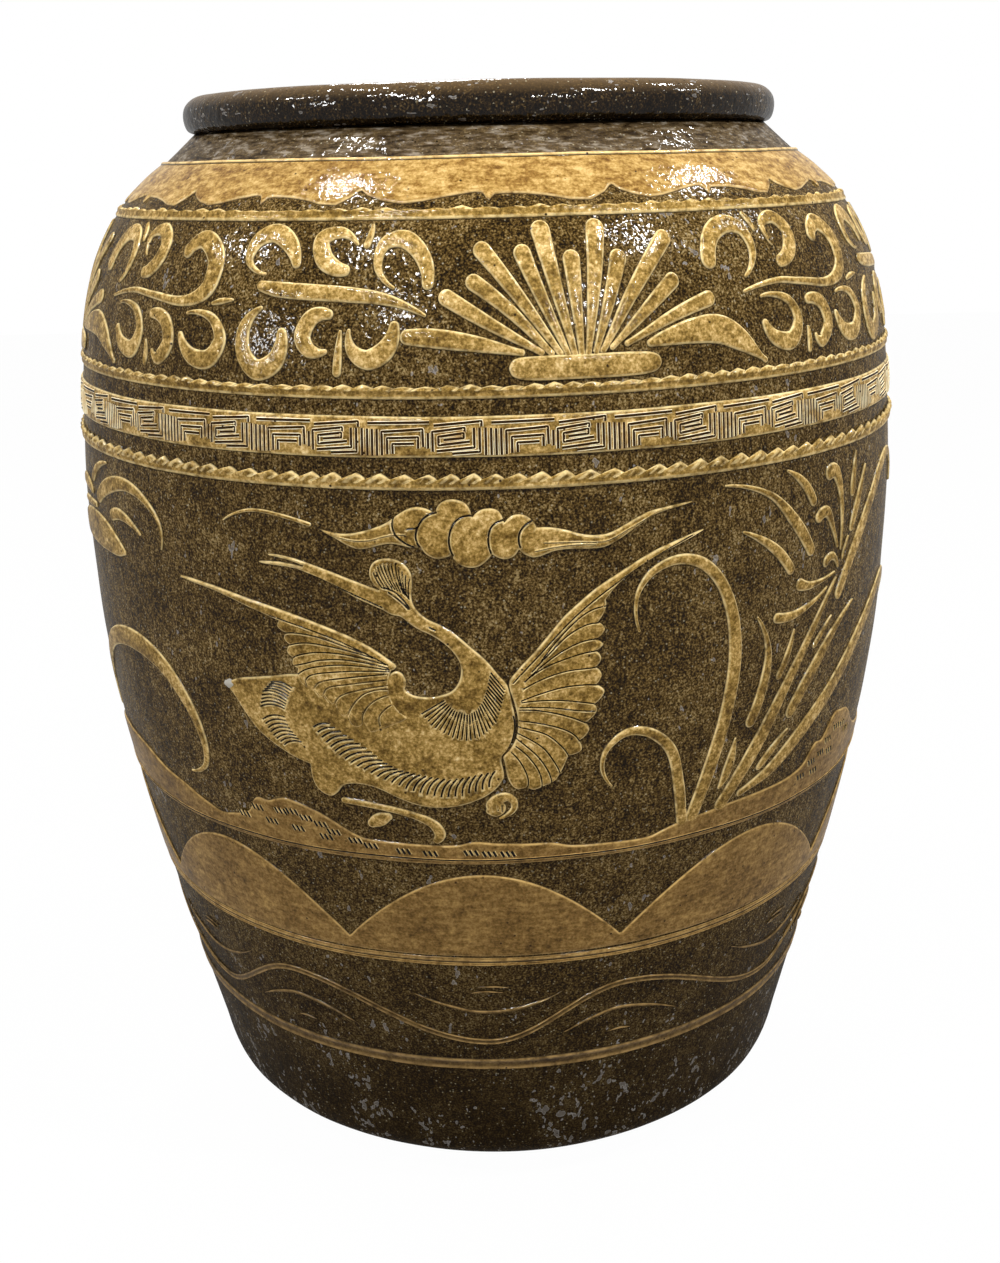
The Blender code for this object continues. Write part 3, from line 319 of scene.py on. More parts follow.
def loopFaces(rows, across):
    # Quads between rows of points, each row a closed loop round the section
    faces = []
    for here in range(0, (rows - 1) * across, across):
        for k in range(across):
            j = (k + 1) % across
            faces.append((here + k, here + j, here + across + j, here + across + k))
    return faces


def closedBand(points, tones):
    # Band all the way round: points by column and row. The last column is the first one, a girth further on.
    columns, across = points.shape[:2]
    loose = points.reshape(-1, 3)
    return (np.concatenate([loose, loose[:across] + (girth, 0, 0)]), loopFaces(columns + 1, across),
            np.concatenate([tones.ravel(), tones[0]]))


strokeForm = {
    "step": 2.2 * mm, "capTurns": (90, 68, 46, 24),
    "fractions": (0.0, 0.14, 0.34, 0.58, 0.82),    # a slim stroke's steps from its edge, as shares of its half width
    "slimRise": 0.52, "leastRise": 0.35 * mm,      # and its crown's height for its width
    "slimHalf": 1.3 * mm, "slimTone": 0.55,        # below this half width a crown keeps some of the rim's tone
}


def stroke(spine, crest, bodyTone=1.0, widen=(1.0, 0.0)):
    # Rolled stroke of clay along a spine of girth, arc and width, with round ends
    e, f = flatForm, strokeForm
    line = smoothLine(spine, f["step"], cornerTurn=181)
    line[:, 2] = line[:, 2] * widen[0] + widen[1]
    capTurns = np.radians(f["capTurns"])
    caps = len(capTurns)

    def capped(values):
        return np.concatenate([np.repeat(values[:1], caps, 0), values, np.repeat(values[-1:], caps, 0)])

    centre, half, side = capped(line)[:, :2], capped(line[:, 2] / 2), capped(sideways(line))
    turn = np.concatenate([-capTurns, np.zeros(len(line)), capTurns[::-1]])
    onward = np.stack([side[:, 1], -side[:, 0]], axis=1)
    high = np.minimum(crest, f["slimRise"] * 2 * half + f["leastRise"])
    inward = np.minimum(np.array(e["steps"][:5])[None, :], np.array(f["fractions"])[None, :] * half[:, None])
    lateral = half[:, None] - np.concatenate([inward, half[:, None]], axis=1)
    rows, tones = [], []
    # up one side, over the crown, down the other side and back below
    for k, sign, buried in ([(k, 1, False) for k in range(6)] + [(k, -1, False) for k in range(4, -1, -1)]
                            + [(0, -1, True), (0, 1, True)]):
        reach = lateral[:, k][:, None]
        flat = centre + side * reach * sign * np.cos(turn)[:, None] + onward * reach * np.sin(turn)[:, None]
        rows.append(np.column_stack([flat, np.full(len(flat), -e["sink"]) if buried else high * e["heights"][k]]))
        tones.append(0.0 if buried else e["tones"][k] * bodyTone)
    narrow = np.repeat(np.clip(half / f["slimHalf"], f["slimTone"], 1.0), len(rows))
    return (np.stack(rows, axis=1).reshape(-1, 3), loopFaces(len(centre), len(rows)),
            np.tile(tones, len(centre)) * narrow)


cutForm = {
    # across a cut, in half widths: its place, its height against the burr's, and its tone
    "offsets": (-1.0, -0.76, -0.5, 0.5, 0.76, 1.0), "heights": (-0.6, 1.0, -0.2, -0.2, 1.0, -0.6),
    # the burrs' pale tone is thin glaze and partly a painted highlight
    "tones": (0.6, 0.5, 0.0, 0.0, 0.5, 0.6, 0.0, 0.0),
    "burr": 0.25 * mm, "overrun": 0.5, "sink": 3,
}


def cutLine(line, width, lift, burr=cutForm["burr"]):
    # Line cut into soft clay, with the burr that it throws up on both sides, pale from thin glaze and partly a
    # painted highlight
    f = cutForm
    side = sideways(line)
    onward = np.stack([side[:, 1], -side[:, 0]], axis=1)
    centre = line[:, :2].copy()
    centre[0] -= onward[0] * width * f["overrun"]
    centre[-1] += onward[-1] * width * f["overrun"]
    heights = [lift + h * burr for h in f["heights"]] + [lift - f["sink"] * burr] * 2
    rows = [np.column_stack([centre + side * (o * width), np.full(len(line), h)])
            for o, h in zip(f["offsets"] + (f["offsets"][-1], f["offsets"][0]), heights)]
    count = len(rows)
    last = (len(line) - 1) * count
    faces = loopFaces(len(line), count)
    faces += [tuple(range(count)), tuple(last + k for k in range(count - 1, -1, -1))]
    return np.stack(rows, axis=1).reshape(-1, 3), faces, np.tile(f["tones"], len(line))


def edgeGap(points, line, closed=True):
    # Distance from each point to a line of points
    a = line[:, :2]
    b = np.roll(a, -1, axis=0) if closed else a[1:]
    a = a if closed else a[:-1]
    way = b - a
    size = np.maximum((way ** 2).sum(1), 1e-14)
    best = np.full(len(points), 1e9)
    for first in range(0, len(points), 1500):
        p = points[first:first + 1500, None, :2]
        t = np.clip(((p - a) * way).sum(2) / size, 0, 1)
        best[first:first + 1500] = np.sqrt((((a + t[:, :, None] * way) - p) ** 2).sum(2)).min(1)
    return best


def isInside(points, outline):
    inside = np.zeros(len(points), bool)
    a, b = outline, np.roll(outline, -1, axis=0)
    for (ax, ay), (bx, by) in zip(a[:, :2], b[:, :2]):
        if ay == by:
            continue
        crosses = (ay > points[:, 1]) != (by > points[:, 1])
        inside ^= crosses & (points[:, 0] < ax + (points[:, 1] - ay) / (by - ay) * (bx - ax))
    return inside


plateForm = {
    "fill": 4.5 * mm, "fillClear": 5.5 * mm, "edgeClear": 0.22 * mm, "cell": 0.30 * mm, "snap": 0.002 * mm,
    "cutPool": (0.0, 0.5, -0.5, 0.95, -0.95, 1.7, -1.7),    # rows of points along a cut, in its widths
    # across a cut or a raised ridge, in its widths from its middle: change of height, and tone
    "cutHeights": ((0, 0.45, 0.95, 1.5), (-0.7 * mm, -0.5 * mm, 0.2 * mm, 0)),
    "cutTones": ((0, 0.45, 0.62), (0, 0.08, 0.4)), "cutHalf": 0.62,
    "ridgeHeights": ((0, 0.5, 0.95, 1.6), (0.40 * mm, 0.20 * mm, -0.14 * mm, 0)),
    "ridgeTones": ((0, 0.4, 0.8), (0.54, 0.6, 1)),
    # its lower side this far below: a cut's lower lip gets a painted highlight, and a ridge's lower side lies in
    # painted shade, as if lit from above
    "below": 0.85, "cutLitLip": ((0, 0.35, 0.7), (0.5, 0.52, 1)), "ridgeShade": ((0, 0.35, 0.7), (0.12, 0.2, 1)),
}


def plate(outline, crest, cuts=(), lift=0.0):
    # Slip of clay with soft edges. A cut holds its line, its width and whether it is a raised ridge.
    e, f = flatForm, plateForm
    area = (outline[:, 0] * np.roll(outline[:, 1], -1) - np.roll(outline[:, 0], -1) * outline[:, 1]).sum()
    outline = outline if area > 0 else outline[::-1]
    out = sideways(np.concatenate([outline[-1:], outline, outline[:1]]))[1:-1]
    pool = []
    for line, width, raised in cuts:
        side = sideways(line)
        pool += [line[:, :2] + side * width * o for o in f["cutPool"]]
    for inward in e["steps"][1:]:
        ring = outline[::2] + out[::2] * inward if inward > 1 * mm else outline + out * inward
        pool.append(ring[edgeGap(ring, outline) > 0.93 * inward])
    low, high = outline.min(0), outline.max(0)
    across = np.arange(low[0], high[0], f["fill"])
    up = np.arange(low[1], high[1], f["fill"] * 0.87)
    grid = np.array([(x + (j % 2) * f["fill"] / 2, y) for j, y in enumerate(up) for x in across])
    pool.append(grid[edgeGap(grid, outline) > f["fillClear"]] if len(grid) else grid)
    loose = np.concatenate(pool)
    loose = loose[isInside(loose, outline)]
    loose = loose[edgeGap(loose, outline) > f["edgeClear"]]
    firsts = {}    # one point to a cell
    for i, (x, y) in enumerate(loose):
        firsts.setdefault((round(x / f["cell"]), round(y / f["cell"])), i)
    points = np.concatenate([outline[:, :2], loose[list(firsts.values())]])
    found = geometry.delaunay_2d_cdt([Vector(p) for p in points.tolist()], [],
                                     [list(range(len(outline)))], 1, f["snap"])
    points = np.array([tuple(p) for p in found[0]])
    triangles = [tuple(face) for face in found[2]]
    gap = edgeGap(points, outline)
    height = crest * np.interp(gap, e["steps"], e["heights"])
    tone = np.interp(gap, e["steps"], e["tones"])
    for line, width, raised in cuts:
        near = np.flatnonzero((points > line[:, :2].min(0) - 4 * width).all(1)
                              & (points < line[:, :2].max(0) + 4 * width).all(1))
        if not len(near):
            continue
        side = sideways(line)
        # painted highlight on a cut's lower lip and painted shade under a ridge, as if lit from above
        below = line[:, :2] - side * np.sign(side[:, 1].mean() + 1e-9) * width * f["below"]
        off = edgeGap(points[near], line, False) / width
        offBelow = edgeGap(points[near], below, False) / width
        height[near] += np.interp(off, *f["ridgeHeights" if raised else "cutHeights"])
        if raised:
            shade = np.minimum(np.interp(off, *f["ridgeTones"]), np.interp(offBelow, *f["ridgeShade"]))
        else:
            shade = np.where(off < f["cutHalf"], np.interp(off, *f["cutTones"]), np.interp(offBelow, *f["cutLitLip"]))
        tone[near] = np.minimum(tone[near], shade)
    count = len(points)
    over = np.column_stack([points, lift + height])
    under = np.column_stack([points, np.full(count, -e["sink"])])
    sides = {(face[k], face[(k + 1) % len(face)]) for face in triangles for k in range(len(face))}
    faces = triangles + [tuple(count + i for i in face[::-1]) for face in triangles]
    faces += [(b, a, count + a, count + b) for a, b in sides if (b, a) not in sides]
    return np.concatenate([over, under]), faces, np.concatenate([tone, np.zeros(count)])


def strap(low, high, crest, middle=5, profile=None, lift=0.0):
    # Band all the way round. low and high give its edges at each column; a profile is a list of way
    # across, height against the crest, and tone, and otherwise the band has a soft edge on both sides.
    columns = len(low)
    if profile:
        ways, heights, tones = (np.array(v) for v in zip(*profile))
        rows = low[:, None] + (high - low)[:, None] * ways[None, :]
        heights = np.tile(heights * crest, (columns, 1))
    else:
        step = girth / columns
        steps, shares = np.array(flatForm["steps"]), np.array(flatForm["heights"])
        most = (0.46 * (high - low))[:, None] * (steps / steps[-1])[None, :] ** 0.5
        leans = (np.hypot(1, (np.roll(edge, -1) - np.roll(edge, 1)) / (2 * step)) for edge in (low, high))
        rise, drop = (np.minimum(steps[None, :] * lean[:, None], most) for lean in leans)
        start, stop = low + rise[:, -1], high - drop[:, -1]
        inner = [(start + (stop - start) * k / (middle + 1))[:, None] for k in range(1, middle + 1)]
        rows = np.concatenate([low[:, None] + rise] + inner + [(high[:, None] - drop)[:, ::-1]], axis=1)
        heights = np.tile(crest * np.concatenate([shares, np.ones(middle), shares[::-1]]), (columns, 1))
        tones = np.concatenate([flatForm["tones"], np.ones(middle), flatForm["tones"][::-1]])
    y = np.concatenate([rows, rows[:, -1:], rows[:, :1]], axis=1)
    x = np.repeat((np.arange(columns) / columns * girth)[:, None], y.shape[1], axis=1)
    z = np.concatenate([lift + heights, np.full((columns, 2), -flatForm["sink"])], axis=1)
    return closedBand(np.stack([x, y, z], axis=2), np.tile(np.concatenate([tones, [0.0, 0.0]]), (columns, 1)))


# Objects from flat work

def setInputs(modifier, values):
    # A modifier's inputs are set by their sockets' identifiers
    for item in modifier.node_group.interface.items_tree:
        if item.in_out == "INPUT" and item.name in values:
            modifier[item.identifier] = values[item.name]


def newObject(name, data):
    made = bpy.data.objects.new(name, data)
    bpy.context.scene.collection.objects.link(made)
    return made


smoothAngle = math.radians(38.0)


def settle(name, source):
    # Turns what the nodes make into a plain mesh, drops the modifier and the flat work
    bpy.context.view_layer.update()
    graph = bpy.context.evaluated_depsgraph_get()
    mesh = bpy.data.meshes.new_from_object(source.evaluated_get(graph))
    mesh.name = name
    flat = source.data
    bpy.data.objects.remove(source, do_unlink=True)
    if flat.users == 0:
        bpy.data.meshes.remove(flat)
    bm = bmesh.new()
    bm.from_mesh(mesh)
    bmesh.ops.remove_doubles(bm, verts=bm.verts, dist=flatForm["weld"])
    bm.to_mesh(mesh)
    bm.free()
    mesh.shade_smooth()
    mesh.set_sharp_from_angle(angle=smoothAngle)
    print("made", name, len(mesh.polygons), "faces")
    return newObject(name, mesh)


def finishPiece(piece, slot, *nodes):
    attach(piece, "root")
    if nodes:
        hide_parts(*nodes)


def layPiece(name, parts, material, *nodes, slot="ochre_glaze", copies=1, start=0.0, turnSpread=0.0, seed=1):
    # Joins flat parts into one piece, lays its copies evenly round the wall and hides the imported nodes it stands
    # for
    source = newObject(name + "Flat", flatMesh(name, parts))
    modifier = source.modifiers.new("lay", "NODES")
    modifier.node_group = repeatRoundWall
    setInputs(modifier, {
        "Copies": copies, "Pitch": girth / copies, "Start": (start, 0.0, 0.0), "Turn Spread": turnSpread,
        "Seed": seed, "Wall Curve": wallCurve, "Belly Radius": wallForm["bellyRadius"],
        "Unevenness": wallForm["unevenness"], "Uneven Scale": wallForm["unevenScale"], "Material": material})
    finishPiece(settle(name, source), slot, *nodes)


def numbered(count, name):
    return [f"{name}_{n + 1}" for n in range(count)]


# Materials: the glaze's glassy skin is the coat, over the coloured clay below it

def linearColour(code):
    # sRGB hex to a linear colour
    parts = [int(code[i:i + 2], 16) / 255 for i in (1, 3, 5)]
    return tuple(c / 12.92 if c <= 0.04045 else ((c + 0.055) / 1.055) ** 2.4 for c in parts) + (1.0,)


def newMaterial(name, roughness=0.35, specular=0.5, coat=0.0, coatRoughness=0.1):
    material = bpy.data.materials.new(name)
    material.use_nodes = True
    tree = material.node_tree
    shader = tree.nodes["Principled BSDF"]
    shader.inputs["IOR"].default_value = 1.5
    shader.inputs["Roughness"].default_value = roughness
    shader.inputs["Specular IOR Level"].default_value = specular
    shader.inputs["Metallic"].default_value = 0.0
    shader.inputs["Coat Weight"].default_value = coat
    shader.inputs["Coat Roughness"].default_value = coatRoughness
    where = addNode(tree, "ShaderNodeTexCoord").outputs["Object"]
    return material, tree, shader, where


def mottle(tree, layers):
    # Clouds of several real sizes laid over each other round 0.5: what they follow, size, weight, detail
    total = 0.5
    for vector, size, weight, detail in layers:
        cloud = addNode(tree, "ShaderNodeTexNoise", {
            "Vector": vector, "Scale": 1 / size, "Detail": detail, "Roughness": 0.6})
        level = addNode(tree, "ShaderNodeMath", [cloud, 0.5], operation="SUBTRACT")
        total = addNode(tree, "ShaderNodeMath", [level, weight, total], operation="MULTIPLY_ADD")
    return total


def spotted(tree, vector, size, reach, soft):
    # Small scattered spots at this pitch, 1 inside a spot and 0 outside
    cells = addNode(tree, "ShaderNodeTexVoronoi", {"Vector": vector, "Scale": 1 / size, "Randomness": 1.0},
                    feature="F1")
    return addNode(tree, "ShaderNodeMapRange", [cells.outputs["Distance"], reach, reach + soft, 1.0, 0.0])


def layered(tree, colour, layers):
    # Colours laid over one another, each where its share says so
    for over, share in layers:
        over = linearColour(over) if isinstance(over, str) else over
        colour = addNode(tree, "ShaderNodeMix", {0: share, 6: colour, 7: over}, data_type="RGBA").outputs[2]
    return colour


def dressShader(tree, shader, colour, rough, skin, strength, depth):
    # Colour, roughness and the wavy skin into the shader; the coat follows the same skin
    bump = addNode(tree, "ShaderNodeBump", {"Strength": strength, "Distance": depth, "Height": skin})
    for socket, source in (("Base Color", colour), ("Roughness", rough.outputs[0]), ("Normal", bump.outputs[0]),
                           ("Coat Normal", bump.outputs[0])):
        tree.links.new(source, shader.inputs[socket])


brownLook = {
    "ground": ((0.20, "#0f0902"), (0.38, "#291c05"), (0.50, "#443212"), (0.64, "#655029"), (0.84, "#927f57")),
    "lipGround": ((0.20, "#080402"), (0.42, "#110a03"), (0.54, "#1c1307"), (0.68, "#342611"), (0.86, "#5f4e30")),
    "cloud": 45 * mm, "blotch": 7 * mm, "run": 2.6 * mm, "grain": 1.4 * mm,    # grain drawn coarser than the real one
    # heights between which the colour darkens towards the foot, the neck begins, and the lip's top is painted
    # lighter, as lit from above
    "footDarkeningSpan": (0.05, 0.36), "neckSpan": (0.748, 0.754), "litLipSpan": (0.790, 0.7995),
    "footDarkColour": "#150c02", "neck": "#4a3d2b", "litLipTop": "#6a5333", "wiped": "#948a7b", "dark": "#22180c",
    "ash": "#a39a80", "ashPitch": 4.2 * mm, "pinhole": "#0f0903", "pinholePitch": 6 * mm,
    "scuff": "#9b9895", "scuffHeart": "#57514a", "scuffTop": 0.17,
    "gloss": (0.09, 0.30), "roughness": 0.5, "coatRoughness": 0.07, "coatSpan": (0.05, 0.45), "skinDepth": 1.6 * mm,
}


def brownGlaze(name, stops, coat, neck=True):
    # Iron-brown ash glaze over stoneware, dipped: grainy, with short runs, pale ash specks and pinholes,
    # wiped thin round the neck, and chalky scuffs near the floor
    look = brownLook
    material, tree, shader, where = newMaterial(name, look["roughness"], 0.0, coat, look["coatRoughness"])
    drawn = addNode(tree, "ShaderNodeMapping", {"Vector": where, "Scale": (1.0, 1.0, 0.4)})
    level = mottle(tree, ((where, look["cloud"], 0.45, 3.0), (where, look["blotch"], 0.35, 3.0),
                          (drawn, look["run"], 0.55, 3.0), (where, look["grain"], 1.35, 2.0)))
    ground = addNode(tree, "ShaderNodeValToRGB", [level], stops=stops).outputs[0]
    height = addNode(tree, "ShaderNodeSeparateXYZ", [where]).outputs["Z"]
    # darker towards the foot
    footDarkShare = addNode(tree, "ShaderNodeMapRange", [height, *look["footDarkeningSpan"], 0.80, 0.0])
    if neck:
        onNeck = addNode(tree, "ShaderNodeMapRange", [height, *look["neckSpan"]])
        thinNeckAndLitLipTop = addNode(tree, "ShaderNodeMath", [onNeck, 0.72], operation="MULTIPLY")
    else:
        # painted light: the lip's top is drawn lighter, as lit from above
        thinNeckAndLitLipTop = addNode(tree, "ShaderNodeMapRange", [height, *look["litLipSpan"], 0.0, 0.5])
    ash = spotted(tree, where, look["ashPitch"], 0.10, 0.07)
    thin = mottle(tree, ((where, 30 * mm, 1.6, 3.0),))
    ashy = addNode(tree, "ShaderNodeMath", [ash, thin], operation="MULTIPLY", use_clamp=True)
    # chalky scuffs: crisp patches that crowd towards the floor, and a few round the lip, drawn long and level, which
    # also stand for painted glints
    crowd = addNode(tree, "ShaderNodeMapRange", [height, 0.0, look["scuffTop"], 0.125, -0.05]) if neck else 0.02
    tall = addNode(tree, "ShaderNodeMapping", {
        "Vector": where, "Scale": (1.0, 1.0, 0.6) if neck else (0.6, 0.6, 1.4)})
    patches = mottle(tree, ((tall, 8 * mm, 1.0, 2.0), (tall, 4 * mm, 0.4, 1.0), (where, 45 * mm, 0.6, 1.0)))
    lifted = addNode(tree, "ShaderNodeMath", [patches, crowd], operation="ADD")
    scuff = addNode(tree, "ShaderNodeMapRange", [lifted, 0.75, 0.785, 0.0, 0.62])
    worn = addNode(tree, "ShaderNodeMapRange", [lifted, 0.785, 0.82, 0.0, 0.8])
    chalk = layered(tree, linearColour(look["scuff"]), [(look["scuffHeart"], worn)])
    layers = [(look["footDarkColour"], footDarkShare), (look["neck" if neck else "litLipTop"], thinNeckAndLitLipTop), (look["ash"], ashy),
              (chalk, scuff)]
    if neck:
        # slanting wipes round the neck
        slant = addNode(tree, "ShaderNodeMapping", {
            "Vector": where, "Rotation": (0.0, 0.6, 0.3), "Scale": (0.22, 0.22, 1.0)})
        wipes = mottle(tree, ((slant, 2.4 * mm, 2.6, 3.0), (where, 30 * mm, 0.8, 2.0)))
        for tint, low, high, most in (("wiped", 0.58, 1.02, 0.6), ("dark", 0.46, 0.1, 0.95)):
            share = addNode(tree, "ShaderNodeMapRange", [wipes, low, high, 0.0, most])
            layers.append((look[tint], addNode(tree, "ShaderNodeMath", [onNeck, share], operation="MULTIPLY")))
    layers.append((look["pinhole"], spotted(tree, where, look["pinholePitch"], 0.07, 0.05)))
    dull = mottle(tree, ((where, 14 * mm, 0.5, 3.0),))
    gloss = addNode(tree, "ShaderNodeMapRange", [dull, 0.38, 0.62, *look["gloss"]])
    rough = addNode(tree, "ShaderNodeMath", [scuff, 0.5, gloss], operation="MULTIPLY_ADD")
    skin = mottle(tree, ((where, 12 * mm, 1.0, 2.0), (where, 3.6 * mm, 0.36, 1.0)))
    dressShader(tree, shader, layered(tree, ground, layers), rough, skin, 0.6, look["skinDepth"])
    # the foot is rubbed duller than the shoulder
    wet = addNode(tree, "ShaderNodeMapRange", [height, *look["coatSpan"], coat * 0.3, coat])
    tree.links.new(wet.outputs[0], shader.inputs["Coat Weight"])
    return material


reliefLook = {
    "cloud": 30 * mm, "blotch": 5 * mm, "grain": 1.8 * mm, "brush": 3.0 * mm,
    "rimTones": (0.55, 0.85), "lineTones": (0.12, 0.44),    # tones over which the rim and the dark line fade
    "wornPatch": 8 * mm, "speck": "#2a1a08", "speckPitch": 12 * mm,
    "gloss": (0.11, 0.34), "roughness": 0.5, "coatRoughness": 0.06, "skinDepth": 1.2 * mm,
}


def reliefGlaze(name, stops, rim, line, brush=0.15, coat=0.21):
    # Thin glaze over raised pale clay: it breaks pale on the worn rims and pools dark along the edges; the pale rim
    # also stands for a painted highlight and the dark line for painted shade
    look = reliefLook
    material, tree, shader, where = newMaterial(name, look["roughness"], 0.0, coat, look["coatRoughness"])
    brushed = addNode(tree, "ShaderNodeMapping", {"Vector": where, "Scale": (0.25, 0.25, 1.0)})
    level = mottle(tree, ((where, look["cloud"], 0.5, 3.0), (where, look["blotch"], 0.7, 4.0),
                          (where, look["grain"], 0.6, 2.0), (brushed, look["brush"], brush, 2.0)))
    body = addNode(tree, "ShaderNodeValToRGB", [level], stops=stops).outputs[0]
    tone = addNode(tree, "ShaderNodeAttribute", attribute_name="tone").outputs["Fac"]
    worn = mottle(tree, ((where, look["wornPatch"], 1.0, 3.0),))
    onRim = addNode(tree, "ShaderNodeMapRange", [worn, 0.36, 0.6, 0.12, 0.9])
    inward = addNode(tree, "ShaderNodeMapRange", [tone, *look["rimTones"]])
    offLine = addNode(tree, "ShaderNodeMapRange", [tone, *look["lineTones"]])
    specks = spotted(tree, where, look["speckPitch"], 0.05, 0.04)
    # rim colour: thin glaze and wear, partly a painted highlight; the dark line colour below is pooled glaze, partly
    # painted shade
    edge = layered(tree, body, [(rim, onRim), (body, inward)])
    colour = layered(tree, linearColour(line), [(edge, offLine), (look["speck"], specks)])
    dull = mottle(tree, ((where, 12 * mm, 0.5, 3.0),))
    gloss = addNode(tree, "ShaderNodeMapRange", [dull, 0.38, 0.62, *look["gloss"]])
    skin = mottle(tree, ((where, 8 * mm, 1.0, 3.0), (where, 2.2 * mm, 0.3, 2.0)))
    dressShader(tree, shader, colour, gloss, skin, 0.5, look["skinDepth"])
    return material


def bareClay():
    # Unglazed stoneware, turned and wiped: dull, sandy and pitted
    material, tree, shader, where = newMaterial("wipedBareStoneware", 0.85, 0.3)
    level = mottle(tree, ((where, 2.2 * mm, 1.0, 4.0), (where, 40 * mm, 0.6, 3.0)))
    stops = ((0.3, "#7d6a54"), (0.55, "#a08a6e"), (0.8, "#b7a287"))
    colour = addNode(tree, "ShaderNodeValToRGB", [level], stops=stops)
    bump = addNode(tree, "ShaderNodeBump", {"Strength": 0.5, "Distance": 0.6 * mm, "Height": level})
    tree.links.new(colour.outputs[0], shader.inputs["Base Color"])
    tree.links.new(bump.outputs[0], shader.inputs["Normal"])
    return material


def chippedClay():
    # Fresh broken stoneware: pale and dull
    material, _, shader, _ = newMaterial("chippedPaleClay", 0.8, 0.2)
    shader.inputs["Base Color"].default_value = linearColour("#a8a397")
    return material


brown = brownGlaze("dippedBrownAshGlaze", brownLook["ground"], 0.18)
lipBrown = brownGlaze("darkBrownLipGlaze", brownLook["lipGround"], 0.32, False)
ochre = reliefGlaze("ochreGlazeOverRelief", (
    (0.27, "#46300b"), (0.42, "#6d5422"), (0.53, "#8f7237"), (0.66, "#b9995d"), (0.80, "#dcc48e")),
    "#dec58b", "#100903")
# paler copy of the ochre glaze for the shoulder frieze and the key band, partly painted light where the upper jar is
# lit more
friezeLitOchre = reliefGlaze("paleLitOchreGlazeOverFrieze", (
    (0.27, "#4c350d"), (0.42, "#775d28"), (0.53, "#9b7d40"), (0.66, "#c6a66a"), (0.80, "#e4cd98")),
    "#e4cc92", "#100903", 0.2, 0.28)
hillOchre = reliefGlaze("thinOchreWashOverHills", (
    (0.22, "#432f0e"), (0.40, "#644a1f"), (0.56, "#7e6132"), (0.80, "#a2834b")), "#bc9b5f", "#1a1106", 0.5)
amber = reliefGlaze("amberGlazeUnderNeck", (
    (0.22, "#573810"), (0.40, "#7e5d27"), (0.56, "#9d7d42"), (0.78, "#c0a066")), "#dcbd80", "#221405", 0.8, 0.36)
waveOchre = reliefGlaze("thinBrownWashOverWaves", (
    (0.22, "#2c1e08"), (0.40, "#443112"), (0.56, "#58431f"), (0.80, "#735c32")), "#927648", "#120b04")
# pale burrs of the key lines: pale clay, brightened further as painted glints
fretBurrsAndGlints = reliefGlaze("paleBurrsAndPaintedGlintsOfTheKeyPattern", (
    (0.22, "#a5823f"), (0.45, "#d0ab6d"), (0.70, "#f0d8a6")), "#fff6d4", "#2e1c06")
clay = bareClay()
chip = chippedClay()
print("materials ready")


# Wall, lip and base: turned shapes

def sectionCurve(name, points, closed):
    data = bpy.data.curves.new(name, "CURVE")
    data.dimensions = "3D"
    spline = data.splines.new("POLY")
    spline.points.add(len(points) - 1)
    spline.points.foreach_set("co", np.column_stack([
        points[:, 0], np.zeros(len(points)), points[:, 1], np.ones(len(points))]).ravel())
    spline.use_cyclic_u = closed
    return newObject(name, data)


wallCurve = sectionCurve("wallCurve", np.column_stack([curveRadii, curveHeights]), False)


def turnedPiece(name, section, material, columns, rows, unevenness):
    curve = sectionCurve(name + "Section", section, True)
    source = newObject(name + "Flat", bpy.data.meshes.new(name + "Flat"))
    modifier = source.modifiers.new("turn", "NODES")
    modifier.node_group = turnSection
    setInputs(modifier, {
        "Section": curve, "Columns": columns + 1, "Rows": rows + 1, "Weld": 0.01 * mm,
        "Unevenness": unevenness, "Uneven Scale": wallForm["unevenScale"], "Material": material})
    piece = settle(name, source)
    bpy.data.objects.remove(curve, do_unlink=True)
    bm = bmesh.new()
    bm.from_mesh(piece.data)
    bmesh.ops.recalc_face_normals(bm, faces=bm.faces)
    bm.to_mesh(piece.data)
    bm.free()
    return piece


# "mesh" is the columns and rows of a turned piece
wallDetail = {
    "keepEvery": 4, "discRadius": 0.1915, "discGap": 0.3 * mm, "topGap": 0.2 * mm, "topShare": 1.05,
    "mesh": (420, 380),
}
baseDetail = {"chamfer": 1 * mm, "hole": 0.02 * mm, "mesh": (120, 160)}
lipForm = {
    "overhang": 0.0075, "width": 0.0235, "height": 0.0257, "step": 0.6 * mm, "mesh": (420, 64),
    "sectionShares": ((0.26, 0.0), (0.68, 0.0), (0.90, 0.10), (1.0, 0.42), (0.94, 0.72), (0.70, 0.94),
                      (0.40, 1.0), (0.11, 0.88), (0.0, 0.58), (0.06, 0.22)),
}


def jarWall():
    # Outside up to the lip's seat, then the inside 10 mm in, and a flat foot ring round the base
    thickness, floor, seat = (wallForm[key] for key in ("thickness", "baseThickness", "seatHeight"))
    keep = slice(0, None, wallDetail["keepEvery"])
    slope = np.gradient(curveRadii, curveHeights)
    size = np.hypot(1, slope)
    inner = np.column_stack([curveRadii - thickness / size, curveHeights + thickness * slope / size])[keep][::-1]
    outer = np.column_stack([curveRadii, curveHeights])[keep]
    inner = inner[(inner[:, 1] > floor) & (inner[:, 1] < seat - wallDetail["topGap"])]
    hole = wallDetail["discRadius"] + wallDetail["discGap"]
    top = [(wallForm["neckRadius"] - thickness * wallDetail["topShare"], seat)]
    section = np.concatenate([outer, top, inner, [(hole, floor), (hole, 0.0)]])
    return turnedPiece("jarWall", section, brown, *wallDetail["mesh"], wallForm["unevenness"])


